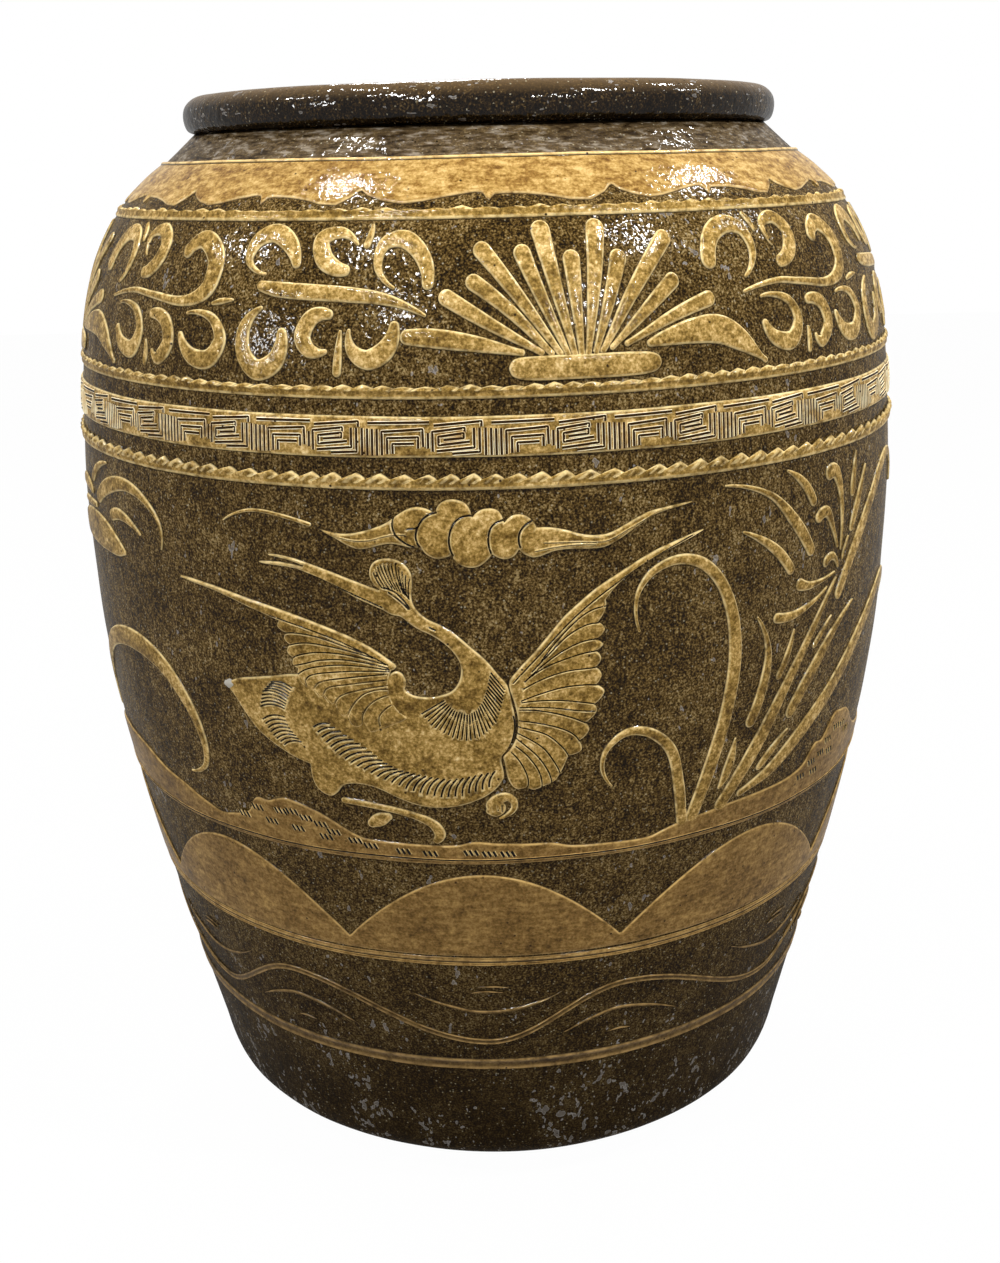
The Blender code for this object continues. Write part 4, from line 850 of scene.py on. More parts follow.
def rolledLip():
    seat = wallForm["seatHeight"] + wallForm["seamGap"] / 2
    outer = wallForm["neckRadius"] + lipForm["overhang"]
    points = [(outer - lipForm["width"] * (1 - out), seat + lipForm["height"] * up)
              for out, up in lipForm["sectionShares"]]
    section = smoothLine(np.array(points), lipForm["step"], closed=True, cornerTurn=100)
    return turnedPiece("lipRoll", section, lipBrown, *lipForm["mesh"], wallForm["unevenness"])


def bareBase():
    high, radius = wallForm["baseThickness"], wallDetail["discRadius"]
    chamfer, hole = baseDetail["chamfer"], baseDetail["hole"]
    section = np.array([(hole, 0.0), (radius - chamfer, 0.0), (radius, chamfer), (radius, high - chamfer),
                        (radius - chamfer, high), (hole, high)])
    return turnedPiece("bareBase", section, clay, *baseDetail["mesh"], 0.0)


finishPiece(jarWall(), "brown_glaze", "foot_wall", "lower_wall", "belly_wall", "shoulder_wall", "collar_wall",
            "neck_ring")
finishPiece(rolledLip(), "brown_glaze", "rolled_lip")
finishPiece(bareBase(), "bare_clay", "base_slab")
print("wall, lip and base turned")


# Bands and cords

bandForm = {
    "columns": 1040, "bandCrest": 1.6 * mm, "ridgeCrest": 1.1 * mm, "upperShare": 0.8,
    # across a band: way, height against the crest, and tone
    "doubleProfile": ((0.0, -0.2, 0.0), (0.07, 0.5, 0.35), (0.15, 1.0, 0.52), (0.25, 0.72, 0.6), (0.34, 0.35, 0.78),
                      (0.5, 0.30, 1.0), (0.66, 0.35, 0.78), (0.75, 0.72, 0.6), (0.85, 1.0, 0.52),
                      (0.93, 0.5, 0.35), (1.0, -0.2, 0.0)),
    "lipProfile": ((0.0, -0.3, 0.0), (0.12, 0.0, 0.06), (0.28, 0.6, 0.3), (0.5, 1.0, 0.5), (0.8, 0.8, 0.56),
                   (1.0, -0.4, 0.3)),
    "borderProfile": ((0.0, -0.15, 0.0), (0.06, 0.6, 0.4), (0.15, 1.0, 0.55), (0.30, 0.8, 1.0), (0.42, 0.35, 0.1),
                      (0.50, 0.35, 0.1), (0.62, 0.85, 0.8), (0.74, 1.0, 0.52), (0.90, 0.7, 0.9), (1.0, -0.15, 0.0)),
}


def handWander(x, amount, seed):
    # Slow wander of a line drawn by hand, closed round the girth
    turn = x / girth * 2 * math.pi
    return amount * (0.5 * np.sin(3 * turn + seed) + 0.3 * np.sin(7 * turn + 2 * seed)
                     + 0.2 * np.sin(17 * turn + 3 * seed))


cordForm = {
    "lobeColumns": 14, "wander": 0.35,
    # across a cord: way, and height against the crest
    "profile": ((0.0, -0.1), (0.05, 0.30), (0.14, 0.52), (0.24, 0.55), (0.34, 0.50), (0.44, 0.70), (0.56, 0.92),
                (0.68, 1.0), (0.80, 0.90), (0.91, 0.55), (1.0, -0.1)),
    # tones: painted shade in the creases between lobes and a painted highlight on the lobes' crests
    "creaseShadeTones": ((0.0, 0.20, 0.42), (0.16, 0.6, 1.0)), "ridgeTones": ((0.66, 0.86), (1.0, 0.5)),
    "edgeTones": ((0.0, 0.05, 0.12, 0.3), (0.0, 0.4, 0.55, 1.0)),
    # name, what it stands for, its line, how much wider than the line, and its twist: lobes, lean, crest,
    # scallop, share of plain foot strip, where a lobe is highest, and how unevenly it was pressed
    "cords": (
        ("lowerCord", "lower_cordon", "lowerCordon", 1.0, (132, 0.85, 3.4 * mm, 0.44, 0.34, 0.60, 0.2)),
        ("middleCord", "middle_cordon", "middleCordon", 1.2, (150, 0.60, 2.4 * mm, 0.30, 0.55, 0.45, 0.55)),
        ("upperCord", "upper_cordon", "upperCordon", 1.06, (112, 0.60, 2.4 * mm, 0.34, 0.58, 0.50, 0.60))),
}


def cord(low, width, lobes, lean, crest, scallop, plainShare, peak, unevenPress):
    # Twisted cord pressed on the wall: leaning lobes over a plain foot strip
    f = cordForm
    columns = lobes * f["lobeColumns"]
    x = np.arange(columns) / columns * girth
    turn = x / girth * 2 * math.pi
    phase = lobes * x / girth + handWander(x, f["wander"], lobes)
    press = 1 - unevenPress * (0.5 + 0.5 * np.sin(turn * 23 + 2 * np.sin(turn * 7)))
    rows, heights, tones = [], [], []
    for v, rise in f["profile"]:
        place = (phase - lean * v) % 1.0
        lobe = np.where(place < peak, place / peak, (1 - place) / (1 - peak)) ** 0.8 * press
        upper = np.clip((v - plainShare) / (1 - plainShare), 0, 1)
        rows.append(low + width * v * (1 - scallop * upper * (1 - lobe)))
        heights.append(crest * rise * (1 - 0.6 * min(upper * 3, 1) * (1 - lobe)) if rise > 0 else
                       np.full(columns, crest * rise))
        tone = np.full(columns, np.interp(min(v, 1 - v), *f["edgeTones"]))
        # painted shade in the creases between lobes, and below it a painted highlight on their crests
        if upper > 0:
            tone = np.minimum(tone, np.interp(lobe, *f["creaseShadeTones"]))
        if upper > 0.15:
            tone = np.minimum(tone, np.interp(lobe, *f["ridgeTones"]))
        tones.append(tone)
    y = np.stack(rows + [rows[-1], rows[0]], axis=1)
    z = np.stack(heights + [np.full(columns, -flatForm["sink"])] * 2, axis=1)
    tone = np.stack(tones + [np.zeros(columns)] * 2, axis=1)
    return closedBand(np.stack([np.repeat(x[:, None], y.shape[1], axis=1), y, z], axis=2), tone)


for name, node, line, widen, shape in cordForm["cords"]:
    layPiece(name, [cord(lineArcs[line], lineWidths[line] * widen, *shape)], ochre, node)

x = np.arange(bandForm["columns"]) / bandForm["columns"] * girth
keyLow = lineArcs["meander"] + handWander(x, 0.5 * mm, 1.0)
keyHigh = lineArcs["meander"] + lineWidths["meander"] + handWander(x, 0.5 * mm, 2.2)
layPiece("keyBand", [strap(keyLow, keyHigh, bandForm["bandCrest"])], friezeLitOchre, "meander_band")

# Key pattern: one unit of lines, in units of a third of a bundle, cut 26 times round the band
keyForm = {
    "units": 26, "across": 25.0, "up": 8.0, "halfWidth": 1.25 * mm, "burr": 0.36 * mm, "lift": 0.14 * mm,
    "cornerNear": 0.35 * mm, "step": 6 * mm, "startShare": -0.01,
    "lineShares": (
        ((0.0, 0.8), (0.0, 5.6)), ((1.1, 0.8), (1.1, 5.5)), ((2.1, 0.8), (2.1, 5.4)), ((3.1, 0.8), (3.1, 5.4)),
        ((4.1, 0.9), (4.1, 5.1), (12.4, 5.6), (12.5, 2.5)), ((5.2, 1.1), (5.2, 3.9), (11.5, 4.1), (11.5, 2.2)),
        ((6.3, 1.2), (6.3, 2.8), (10.5, 2.9)), ((1.4, 6.7), (13.6, 6.9)),
        ((13.5, 2.2), (13.5, 4.7)), ((14.4, 1.6), (14.4, 5.1), (20.8, 5.8), (20.8, 5.2)),
        ((21.6, 3.2), (15.6, 2.6), (15.6, 4.2), (20.6, 4.8), (20.6, 3.9), (16.8, 3.6)),
        ((15.4, 1.5), (22.7, 2.1), (22.7, 5.6)), ((18.5, 1.0), (23.8, 1.3), (23.8, 5.6)),
        ((14.9, 6.3), (24.2, 7.0), (24.2, 6.2))),
}


def cornered(line, step):
    # Points along straight runs, close by each corner and no further apart than a step between
    points = [line[0]]
    for a, b in zip(line, line[1:]):
        length = math.dist(a, b)
        near = min(keyForm["cornerNear"], length / 3)
        stops = [near / length, 1 - near / length]
        count = max(1, math.ceil((length - 2 * near) / step))
        stops = [stops[0] + (stops[1] - stops[0]) * k / count for k in range(count + 1)] + [1.0]
        points += [tuple(p + (q - p) * t for p, q in zip(a, b)) for t in stops]
    return np.array(points)


keyUnit = girth / keyForm["units"]
keyLines = []
for line in keyForm["lineShares"]:
    real = [(px / keyForm["across"] * keyUnit, lineArcs["meander"] + py / keyForm["up"] * lineWidths["meander"])
            for px, py in line]
    keyLines.append(cutLine(cornered(real, keyForm["step"]), keyForm["halfWidth"],
                            bandForm["bandCrest"] + keyForm["lift"], keyForm["burr"]))
layPiece("keyLines", keyLines, fretBurrsAndGlints, copies=keyForm["units"], start=keyForm["startShare"] * keyUnit)

low = lineArcs["hillBorder"] + handWander(x, 0.6 * mm, 4.0)
layPiece("hillBorderLine", [strap(low, low + lineWidths["hillBorder"], bandForm["ridgeCrest"],
                                  profile=bandForm["borderProfile"])], hillOchre, "hill_border")

low = lineArcs["waveBorder"] + handWander(x, 0.5 * mm, 5.0)
high = (lineArcs["waveBorder"] + lineWidths["waveBorderPitch"] + lineWidths["waveBorderLine"] * bandForm["upperShare"]
        + handWander(x, 0.5 * mm, 6.0))
layPiece("waveBorderLines", [strap(low, high, bandForm["ridgeCrest"], profile=bandForm["doubleProfile"])],
         waveOchre, "wave_border_lower", "wave_border_upper")

waveForm = {
    "count": 7, "startShare": -0.0908, "amplitude": 22.5 * mm, "fallShare": 0.6,
    # arcs and dashes beside the wave: way from the crest or the trough, arc up the wall, width
    "crestArc": ((-50, 171.5, 1.0), (-28, 181, 2.8), (-4, 186.6, 3.4), (26, 182, 3.0), (55, 171.5, 0.8)),
    "troughArc": ((-62, 211, 0.8), (-32, 200, 2.8), (-4, 194.8, 3.4), (30, 199, 3.0), (60, 211, 0.8)),
    "dashes": (("trough", ((-13, 213, 0.9), (-2, 214.6, 2.2), (12, 213.4, 0.8))),
               ("trough", ((-8, 218.4, 0.8), (4, 219.2, 1.8), (16, 218, 0.8))),
               ("crest", ((-9, 164.8, 0.8), (0, 166, 2.0), (10, 164.6, 0.8)))),
    "crest": 1.3 * mm,
    "bodyTone": 0.8, "turnSpread": 0.004, "seed": 7,
}
wavePitch = girth / waveForm["count"]


def waveLevel(share):
    # The wave falls slowly and climbs fast
    fall = waveForm["fallShare"]
    share = share % 1.0
    return np.where(share < fall, np.cos(math.pi * share / fall), -np.cos(math.pi * (share - fall) / (1 - fall)))


share = (x - waveForm["startShare"] * girth) / wavePitch
middle = lineArcs["waveMean"] + waveForm["amplitude"] * waveLevel(share)
half = lineWidths["waveLine"] / 2 * np.hypot(1, np.gradient(middle, x[1]))
layPiece("waveLine", [strap(middle - half, middle + half, bandForm["ridgeCrest"], profile=bandForm["doubleProfile"])],
         waveOchre, "wave_line")

ripples = []
anchors = {"crest": 0.0, "trough": waveForm["fallShare"] * wavePitch}
for anchor, table in (("crest", waveForm["crestArc"]), ("trough", waveForm["troughArc"])) + waveForm["dashes"]:
    spine = np.array(table, float) * mm
    spine[:, 0] += anchors[anchor]
    ripples.append(stroke(spine, waveForm["crest"], waveForm["bodyTone"]))
layPiece("waveRipples", ripples, waveOchre, copies=waveForm["count"], start=waveForm["startShare"] * girth,
         turnSpread=waveForm["turnSpread"], seed=waveForm["seed"])
print("bands, cords and waves laid")


# Hills, ground and collar

def alongUnits(startShare, shares):
    # For each column, how far it lies through its own unit of a row of uneven units
    edges = np.cumsum((0.0,) + shares) / sum(shares)
    fromStart = (x / girth - startShare) % 1.0
    at = np.clip(np.searchsorted(edges, fromStart, side="right") - 1, 0, len(shares) - 1)
    return (fromStart - edges[at]) / (edges[at + 1] - edges[at])


hillForm = {
    "startShare": -0.1645, "skirt": 10.5 * mm, "gap": 0.8 * mm, "clearance": 8.7 * mm, "crest": 1.3 * mm,
    "widthShares": (0.105, 0.107, 0.114, 0.1123, 0.1123, 0.1123, 0.1123, 0.1123, 0.1123),
    "middle": 10, "roundness": 0.92,
}
hillBase = lineArcs["hillBorder"] + lineWidths["hillBorder"] + hillForm["gap"]
hillRise = lineArcs["ground"] - hillForm["clearance"] - hillBase - hillForm["skirt"]
within = alongUnits(hillForm["startShare"], hillForm["widthShares"])
hillTop = hillBase + hillForm["skirt"] + hillRise * np.sin(math.pi * within) ** hillForm["roundness"]
layPiece("hillRow", [strap(np.full(len(x), hillBase), hillTop, hillForm["crest"], middle=hillForm["middle"])],
         hillOchre, "hill_row")

collarForm = {
    "cusp": 12.6 * mm, "crest": 1.3 * mm,
    "startTurn": -46.1, "middle": 6, "edgeBelow": 3.4 * mm, "edgeAbove": 0.4 * mm, "edgeCrest": 0.9 * mm,
    "bracketTurns": (29.7, 34.3, 29.0, 28.0, 29.9, 29.9, 29.9, 29.9, 29.9, 29.9, 29.9, 29.7),
    "edgeShares": ((0.0, 1.0), (0.03, 0.62), (0.09, 0.28), (0.17, 0.04), (0.25, 0.16), (0.36, 0.48), (0.455, 0.70),
                   (0.485, 0.62), (0.504, 0.06), (0.53, 0.52), (0.56, 0.56), (0.645, 0.52), (0.735, 0.34),
                   (0.82, 0.05), (0.90, 0.0), (0.965, 0.5), (1.0, 1.0)),
}
edge = np.array(collarForm["edgeShares"])
along = alongUnits(collarForm["startTurn"] / 360, collarForm["bracketTurns"])
collarLow = lineArcs["collarNib"] + collarForm["cusp"] * np.interp(along, edge[:, 0], edge[:, 1])
collarTop = np.full(len(x), arcAt(wallForm["rootHeight"])) + handWander(x, 0.5 * mm, 3.0)
collarEdge = strap(collarTop - collarForm["edgeBelow"], collarTop + collarForm["edgeAbove"], collarForm["edgeCrest"],
                   profile=bandForm["lipProfile"], lift=collarForm["crest"])
layPiece("collarBand", [strap(collarLow, collarTop, collarForm["crest"], middle=collarForm["middle"]), collarEdge],
         amber, "collar_band", slot="amber_glaze")


# Pictures between the ground and the lower cord

def crossHatch(first, second, count, bend, width):
    # Short cuts from one line to another, point to point, each bowed to its left by a share of its length
    runs = (np.hypot(*np.diff(first, axis=0).T) + np.hypot(*np.diff(second, axis=0).T)) / 2
    knots = np.concatenate([[0], np.cumsum(runs)])
    at = np.linspace(0, knots[-1], count)
    ends = [np.stack([np.interp(at, knots, line[:, k]) for k in range(2)], axis=1) for line in (first, second)]
    cuts = []
    for p, q in zip(*ends):
        way = q - p
        t = np.linspace(0, 1, max(4, math.ceil(np.hypot(*way) / flatForm["cutStep"])))[:, None]
        line = p + way * t + np.array((-way[1], way[0])) * bend * 4 * t * (1 - t)
        cuts.append((line, width, False))
    return cuts


def singleCuts(lines, width, raised=False):
    return [(smoothLine(line, flatForm["cutStep"]), width, raised) for line in lines]


def pictureOutline(table, turn=100.0, hollowTurn=48.0):
    return smoothLine(table, flatForm["lineStep"], closed=True, cornerTurn=turn, hollowTurn=hollowTurn)


groundForm = {
    "frameShares": (-0.3811, 0.0, 1.0, 0.2222), "gridShares": (312.0, 18.0), "crest": 1.4 * mm,
    "edgeShares": (
        (6, 12.7), (16, 12.3), (20, 11.7), (26, 10.1), (30, 9.1), (36, 8.1), (42, 6.3), (46, 5.1), (50, 4.3),
        (54, 5.1), (58, 6.3), (60, 7.7), (61.5, 10.3), (63, 11.3), (66, 11.1), (68, 11.9), (71, 12.6),
        (76, 11.5), (80, 10.1), (84, 7.9), (87, 6.3), (90, 5.3), (100, 4.9), (110, 4.9), (114, 5.8),
        (119, 5.4), (125, 5.1), (131, 4.9), (135, 3.9), (141, 3.5), (153, 3.2), (157, 4.3), (161, 5.3),
        (167, 6.1), (175, 6.9), (191, 7.3), (197, 8.1), (200, 9.3), (202, 11.7), (204, 13.3), (207, 13.1),
        (209, 15.1), (211, 17.3), (213, 18.3), (216, 17.9), (220, 17.1), (223, 15.3), (227, 12.1), (231, 9.7),
        (240, 7.2), (250, 5.7), (262, 5.2), (275, 6.1), (286, 7.7), (297, 10.3), (306, 12.1), (312, 12.9),
        (318, 12.7)),
    # dashes pressed into the mounds: share of the field from its start, and way up, three to each place
    "dashShares": (
        (58, 6.5), (62.5, 9.2), (69, 9.6), (72, 10), (75.5, 9), (79, 8), (82, 6.5), (87, 5), (90.5, 4.1),
        (98, 3.4), (104, 3.2), (113, 3.6), (117, 3.3), (121, 3.2), (66, 6.5), (73, 6), (80, 5), (199, 6.5),
        (203, 9), (207, 10), (210, 12.5), (214, 14.5), (218, 14), (205, 6), (212, 9), (222, 11.5)),
    "dashLength": 3.2 * mm, "dashPitch": 3.7 * mm, "dashLean": (0.45, -0.9), "dashHalf": 1.5 * mm,
    "dashLift": 0.2 * mm, "blendShare": 0.02, "cutRise": 4.2 * mm, "cutHalf": 1.0 * mm, "cutLift": 0.14 * mm,
}


def onGround(table):
    return onGrid(table, groundForm["frameShares"], groundForm["gridShares"], mainField)


edge = smoothLine(onGround(groundForm["edgeShares"]), 1 * mm, cornerTurn=80)
half = girth / 2
at = (x - edge[0, 0]) % half + edge[0, 0]
groundTop = np.interp(at, edge[:, 0], edge[:, 1])
# where the strip's two halves meet, one end blends into the next start
blend = np.clip((edge[-1, 0] - half - at) / (groundForm["blendShare"] * half) + 1, 0, 1) * (at < edge[-1, 0] - half)
groundTop = groundTop * (1 - blend) + np.interp(at + half, edge[:, 0], edge[:, 1]) * blend
groundLow = np.full(len(x), lineArcs["ground"]) + handWander(x, 0.7 * mm, 6.0)
layPiece("groundStrip", [strap(groundLow, groundTop, groundForm["crest"])], hillOchre, *numbered(2, "ground"))

line = np.column_stack([x, groundLow + groundForm["cutRise"] + handWander(x, 0.8 * mm, 2.0)])
line = np.concatenate([line, line[:1] + (girth, 0)])
groundCut = cutLine(line[::2], groundForm["cutHalf"], groundForm["crest"] + groundForm["cutLift"])
layPiece("groundCuts", [groundCut], hillOchre)
dashes = []
for spot in onGround(groundForm["dashShares"]):
    for k in (-1, 0, 1):
        foot = spot + np.array((groundForm["dashPitch"] * k, 0))
        tip = foot + np.array(groundForm["dashLean"]) * groundForm["dashLength"]
        dashes.append(cutLine(np.linspace(foot, tip, 3), groundForm["dashHalf"],
                              groundForm["crest"] + groundForm["dashLift"]))
layPiece("moundDashes", dashes, ochre, copies=2)

craneForm = {
    "frameShares": (-0.2307, 0.1335, 0.3811, 0.7328), "gridShares": (100.0, 50.0),
    "bodyCrest": 1.5 * mm, "wingCrest": 2.1 * mm, "legCrest": 1.4 * mm,
    "bodyCut": 1.0 * mm, "toeCut": 0.7 * mm, "featherCut": 0.8 * mm, "rootCut": 1.2 * mm,
    "legWiden": (1.45, 0.2 * mm), "footWiden": (1.25, 0.3 * mm),
    "body": (
        (10, 22.3), (13, 24), (17, 24.9), (21, 25.7), (25.5, 26.6), (42, 27.6), (44.2, 28.6), (45.3, 28.2),
        (46, 26.8), (45.7, 25.4), (47, 24.4), (49.5, 24.1), (51.5, 24.4), (53.5, 25.2), (54.6, 26.6),
        (55.1, 28.2), (55, 30), (54, 31.9), (52.5, 33.5), (50.3, 35), (48.5, 35.8), (47, 36.8), (45.5, 38),
        (44, 38.3), (42, 39.3), (38.5, 40.7), (34.5, 42.7), (30.5, 44.3), (27, 45.3), (20, 45.7), (20, 46.1),
        (24, 46.4), (28.6, 45.9), (26, 46.6), (22, 47.1), (22.2, 47.6), (26, 47.4), (30, 46.5), (35, 45),
        (39.5, 43.5), (42, 42.7), (41.2, 43.3), (40.5, 44.6), (40.5, 46.1), (41.2, 47.3), (42.6, 48),
        (44.2, 48.1), (45.9, 47.6), (47.2, 46.4), (47.8, 44.8), (47.6, 41.2), (48.2, 39.6), (49.8, 38),
        (52, 36.9), (54.5, 35.3), (57, 33), (59.5, 30.6), (61.5, 28), (63, 26), (63.8, 22.5), (64.3, 19.5),
        (64, 16.5), (63, 14.2), (61.8, 12.6), (62.2, 9), (61.3, 7.2), (60, 5.8), (58, 4.5), (55, 3.3),
        (52, 2.7), (49, 2.6), (46, 3.1), (43, 4.2), (40, 5.6), (37.5, 6.3), (35, 6.4), (33, 5.9),
        (31.5, 4.2), (30.2, 3.4), (28.5, 3.8), (27.2, 5.1), (26.6, 7), (26.6, 9.4), (22, 11), (17, 14),
        (14.5, 16.7), (12, 20.3)),
    "leftWing": (
        (1.2, 41.2), (10, 40.5), (18, 39.1), (26, 37.5), (34, 35.2), (37.5, 33.9), (40.5, 32.4), (43, 30.7),
        (44.5, 29.4), (43.7, 28.3), (43.1, 26.5), (43.3, 24), (44.4, 21.7), (46.1, 20.1), (42.1, 17.9),
        (40, 17), (38.9, 16.9), (38.1, 18.4), (36.8, 17.6), (35.6, 18), (35, 19.7), (33.9, 19.5),
        (33.1, 20.3), (32.9, 21.6), (31.7, 21.7), (30.9, 22.8), (29.7, 22.7), (29, 24.1), (27.9, 24.1),
        (26.3, 25.6), (26.3, 27.6), (25.3, 28.3), (25.6, 29.5), (24.4, 30.4), (25, 31.8), (24, 32.8),
        (24.4, 33.8), (22.8, 34.8), (23.2, 35.8), (18, 37.3), (10, 39.4), (1.2, 40.6)),
    "rightWing": (
        (63.1, 26.4), (64.5, 28.6), (67, 31.3), (69.5, 34.2), (72, 37.2), (74.5, 39.5), (78, 42.2),
        (82, 44.5), (86, 46.6), (90, 48.2), (97.5, 50.2), (97.5, 49.8), (90, 46.9), (86, 45.1), (82.5, 42.9),
        (79.7, 39.9), (79.7, 38.4), (78.4, 36.2), (79.6, 34.8), (78, 33.2), (79.3, 32.2), (78, 31.2),
        (79, 29.8), (78, 28.3), (79.1, 26.8), (78, 25.1), (79.6, 23.8), (77.8, 21.6), (78.3, 20.2),
        (76.3, 18.3), (77, 16.8), (75.2, 15), (75.7, 13.1), (73.4, 12.3), (72.9, 10.9), (72, 9), (71, 7.5),
        (69, 6.6), (67.2, 6), (66, 6.6), (64, 6.4), (62.7, 8.3), (62.1, 11.6), (61.9, 12.8), (63.1, 14.2),
        (64.2, 16.5), (64.5, 19.5), (64, 22.5)),
    "leg": (
        (32.6, 2.9, 0.9), (41.4, 1.9, 1.0), (45.6, 0.9, 1.1), (48.9, -0.6, 1.4), (50.2, -2.6, 1.6),
        (49.6, -4.0, 1.2)),
    "foot": (
        (60, 3.2, 2.2), (61.2, 4.5, 1.8), (62.8, 4.8, 1.4), (63.8, 3.6, 1.2), (63.4, 2, 1.0), (61.2, 0.6, 0.4)),
    "pebble": ((37.6, -1.3, 1.4), (39.2, -0.4, 2.0), (40.8, 0.3, 1.2)),
    # ball of the toes inside the curl of the foot
    "toe": ((58.6, 1.9), (59.4, 3.6), (61.0, 4.2), (62.3, 3.3), (62.0, 1.6), (60.4, 0.8)),
    "toeCuts": (((59.9, 3.5), (60.0, 2.2)), ((60.8, 3.6), (60.9, 2.2)), ((61.6, 3.2), (61.6, 2.0))),
    # hatches: two lines that the short cuts run between, how many, how far they bow, and their half width
    "hatches": (
        (((28.4, 17), (30.8, 14), (33.2, 11.8), (36.5, 10), (40, 8.4), (46, 6), (51, 5), (54.6, 5.4),
          (59.4, 7)),
         ((31.5, 18), (35, 15.8), (38.4, 13.6), (41, 11.4), (43.6, 10), (48.4, 9), (52.8, 8.4), (56, 9),
          (60.4, 10)), 29, 0.10, 1.2 * mm),
        (((20.6, 24.4), (18.6, 22.4), (17.8, 19.4)), ((24.8, 24), (23.6, 21.8), (22.8, 19.8)), 9, 0.12, 1.05 * mm),
        (((18, 17), (19, 15.4), (20, 14), (21.8, 12.6)), ((22.8, 18.1), (23.2, 16.6), (24.2, 15.2), (25.5, 13.7)),
         8, 0.12, 1.05 * mm),
        (((48.3, 21), (50.4, 18.6), (53.2, 16.8), (56, 16), (58.8, 17.2), (60.9, 19.4), (61.9, 22.6),
          (62.4, 25.4)),
         ((52.2, 23.5), (53.2, 22.2), (54.6, 21.2), (56.2, 20.8), (57.6, 21.6), (58.8, 23.2), (59.6, 25.6),
          (60.2, 28.4)), 29, 0.0, 0.9 * mm),
        (((42.6, 43.1), (44.5, 43.0), (46.2, 42.2), (47.1, 41.2)),
         ((41.3, 45.6), (42.6, 47.1), (45, 47.2), (47.3, 44.6)), 12, 0.05, 0.75 * mm)),
    "bodyCuts": (
        ((42.4, 39.7), (36, 42.3), (31, 44.2), (26, 45.4)), ((42.9, 43), (45, 42.2), (47.2, 39.5)),
        ((43.7, 42.3), (45.6, 40.9), (46.9, 39.5)), ((50.3, 36.4), (51.3, 35.9)),
        ((61.9, 12.8), (63.3, 15.2), (64, 18), (63.8, 20.4))),
    "leftRoot": ((43.7, 28.6), (43.1, 26.5), (43.3, 24), (44.4, 21.7), (46.1, 20.1)),
    # feathers: lines pressed from the notches of the edge to the wing's root
    "leftFeathers": (
        ((21.5, 36.7), (28, 35.3), (34, 33.6), (39, 31.6), (43, 29.6)),
        ((24.1, 33.6), (26, 34.1), (30, 33.9), (34, 33.0), (38.5, 31.6)),
        ((24.8, 31.6), (28, 32.5), (32, 32.4), (36.6, 31.7), (40.4, 30.8)),
        ((25.3, 29.3), (27.2, 30.3), (31, 31.1), (36, 31.0), (42.6, 29.7)),
        ((25.6, 28.1), (28, 28.8), (31, 29.7), (36, 30.1), (43.1, 29.1)),
        ((26.0, 26.2), (28, 27.7), (31.5, 28.7), (36, 29.2), (43.2, 28.8)),
        ((28.3, 24.3), (27.8, 25.6), (29, 26.8), (33, 27.7), (38, 28.3), (43.2, 28.5)),
        ((30.3, 23.1), (29.4, 24.3), (30.4, 25.6), (34, 26.6), (42.6, 28)),
        ((32.3, 21.8), (31.1, 23.4), (32, 24.8), (35.5, 25.7), (42.7, 27)),
        ((34, 19.8), (32.9, 21.6), (34.2, 23.5), (37.5, 24.8), (42.7, 26)),
        ((35.3, 20.1), (36.8, 22.6), (39, 24.5), (42.7, 25.3)),
        ((38.3, 18.2), (37.9, 19.8), (38.8, 21.7), (40.6, 23.3), (42.9, 24.3)),
        ((41, 18.4), (40.9, 20.1), (42, 21.6), (43.6, 22.7))),
    "rightFeathers": (
        ((63.8, 26.4), (68, 30.9), (74, 37.2), (80, 41.8), (88, 46.3), (95.5, 49.4)),
        ((79.6, 38.9), (76.5, 38.2), (73, 35.4), (68.6, 30.2)),
        ((78.3, 36.1), (76, 35.9), (73, 34.3), (70.4, 31.8), (67, 28.3)),
        ((78.2, 33.3), (75.5, 33.1), (72, 31.6), (69, 29.5), (66.2, 27)),
        ((78, 31.2), (75.5, 31), (71.5, 29.9), (68.5, 28.6), (65.8, 26.6)),
        ((78, 28.3), (76.5, 28.3), (73, 28.1), (69.5, 27.2), (65.7, 25.4)),
        ((78, 25.1), (76, 25.4), (72, 25.2), (68, 24.2), (65.2, 23.2)),
        ((77.6, 21.8), (76, 22.2), (72, 22.9), (68.5, 23.1), (65.2, 22.9)),
        ((77.8, 20.4), (75, 20.8), (70, 21.7), (65, 22)),
        ((76.3, 18.3), (74, 19.5), (71, 20.6), (68, 21.3), (64.9, 21.6)),
        ((75.2, 15), (73.8, 16.7), (71, 18.1), (67.5, 19.1), (64.8, 19.6)),
        ((73.3, 12.4), (72, 14.4), (69.5, 16.7), (66.5, 17.9), (64.7, 18.4)),
        ((71.9, 9), (71, 11.1), (69, 14.1), (66.5, 16.1), (64.5, 17.2)),
        ((70.4, 7.3), (69.8, 9.6), (68, 12.6), (65.6, 15.1), (64.3, 16.2)),
        ((68.7, 6.6), (68.2, 9.6), (66.4, 12.6), (64.2, 14.8)),
        ((66.1, 6.6), (66.2, 8.6), (65, 11.6), (63.4, 13.7))),
    "chip": ((10.3, 22.5, 1.2), (11.2, 22.5, 2.0), (12.0, 22.6, 1.0)), "chipRise": 0.3 * mm,
}


def onCrane(table):
    return onGrid(table, craneForm["frameShares"], craneForm["gridShares"], mainField)


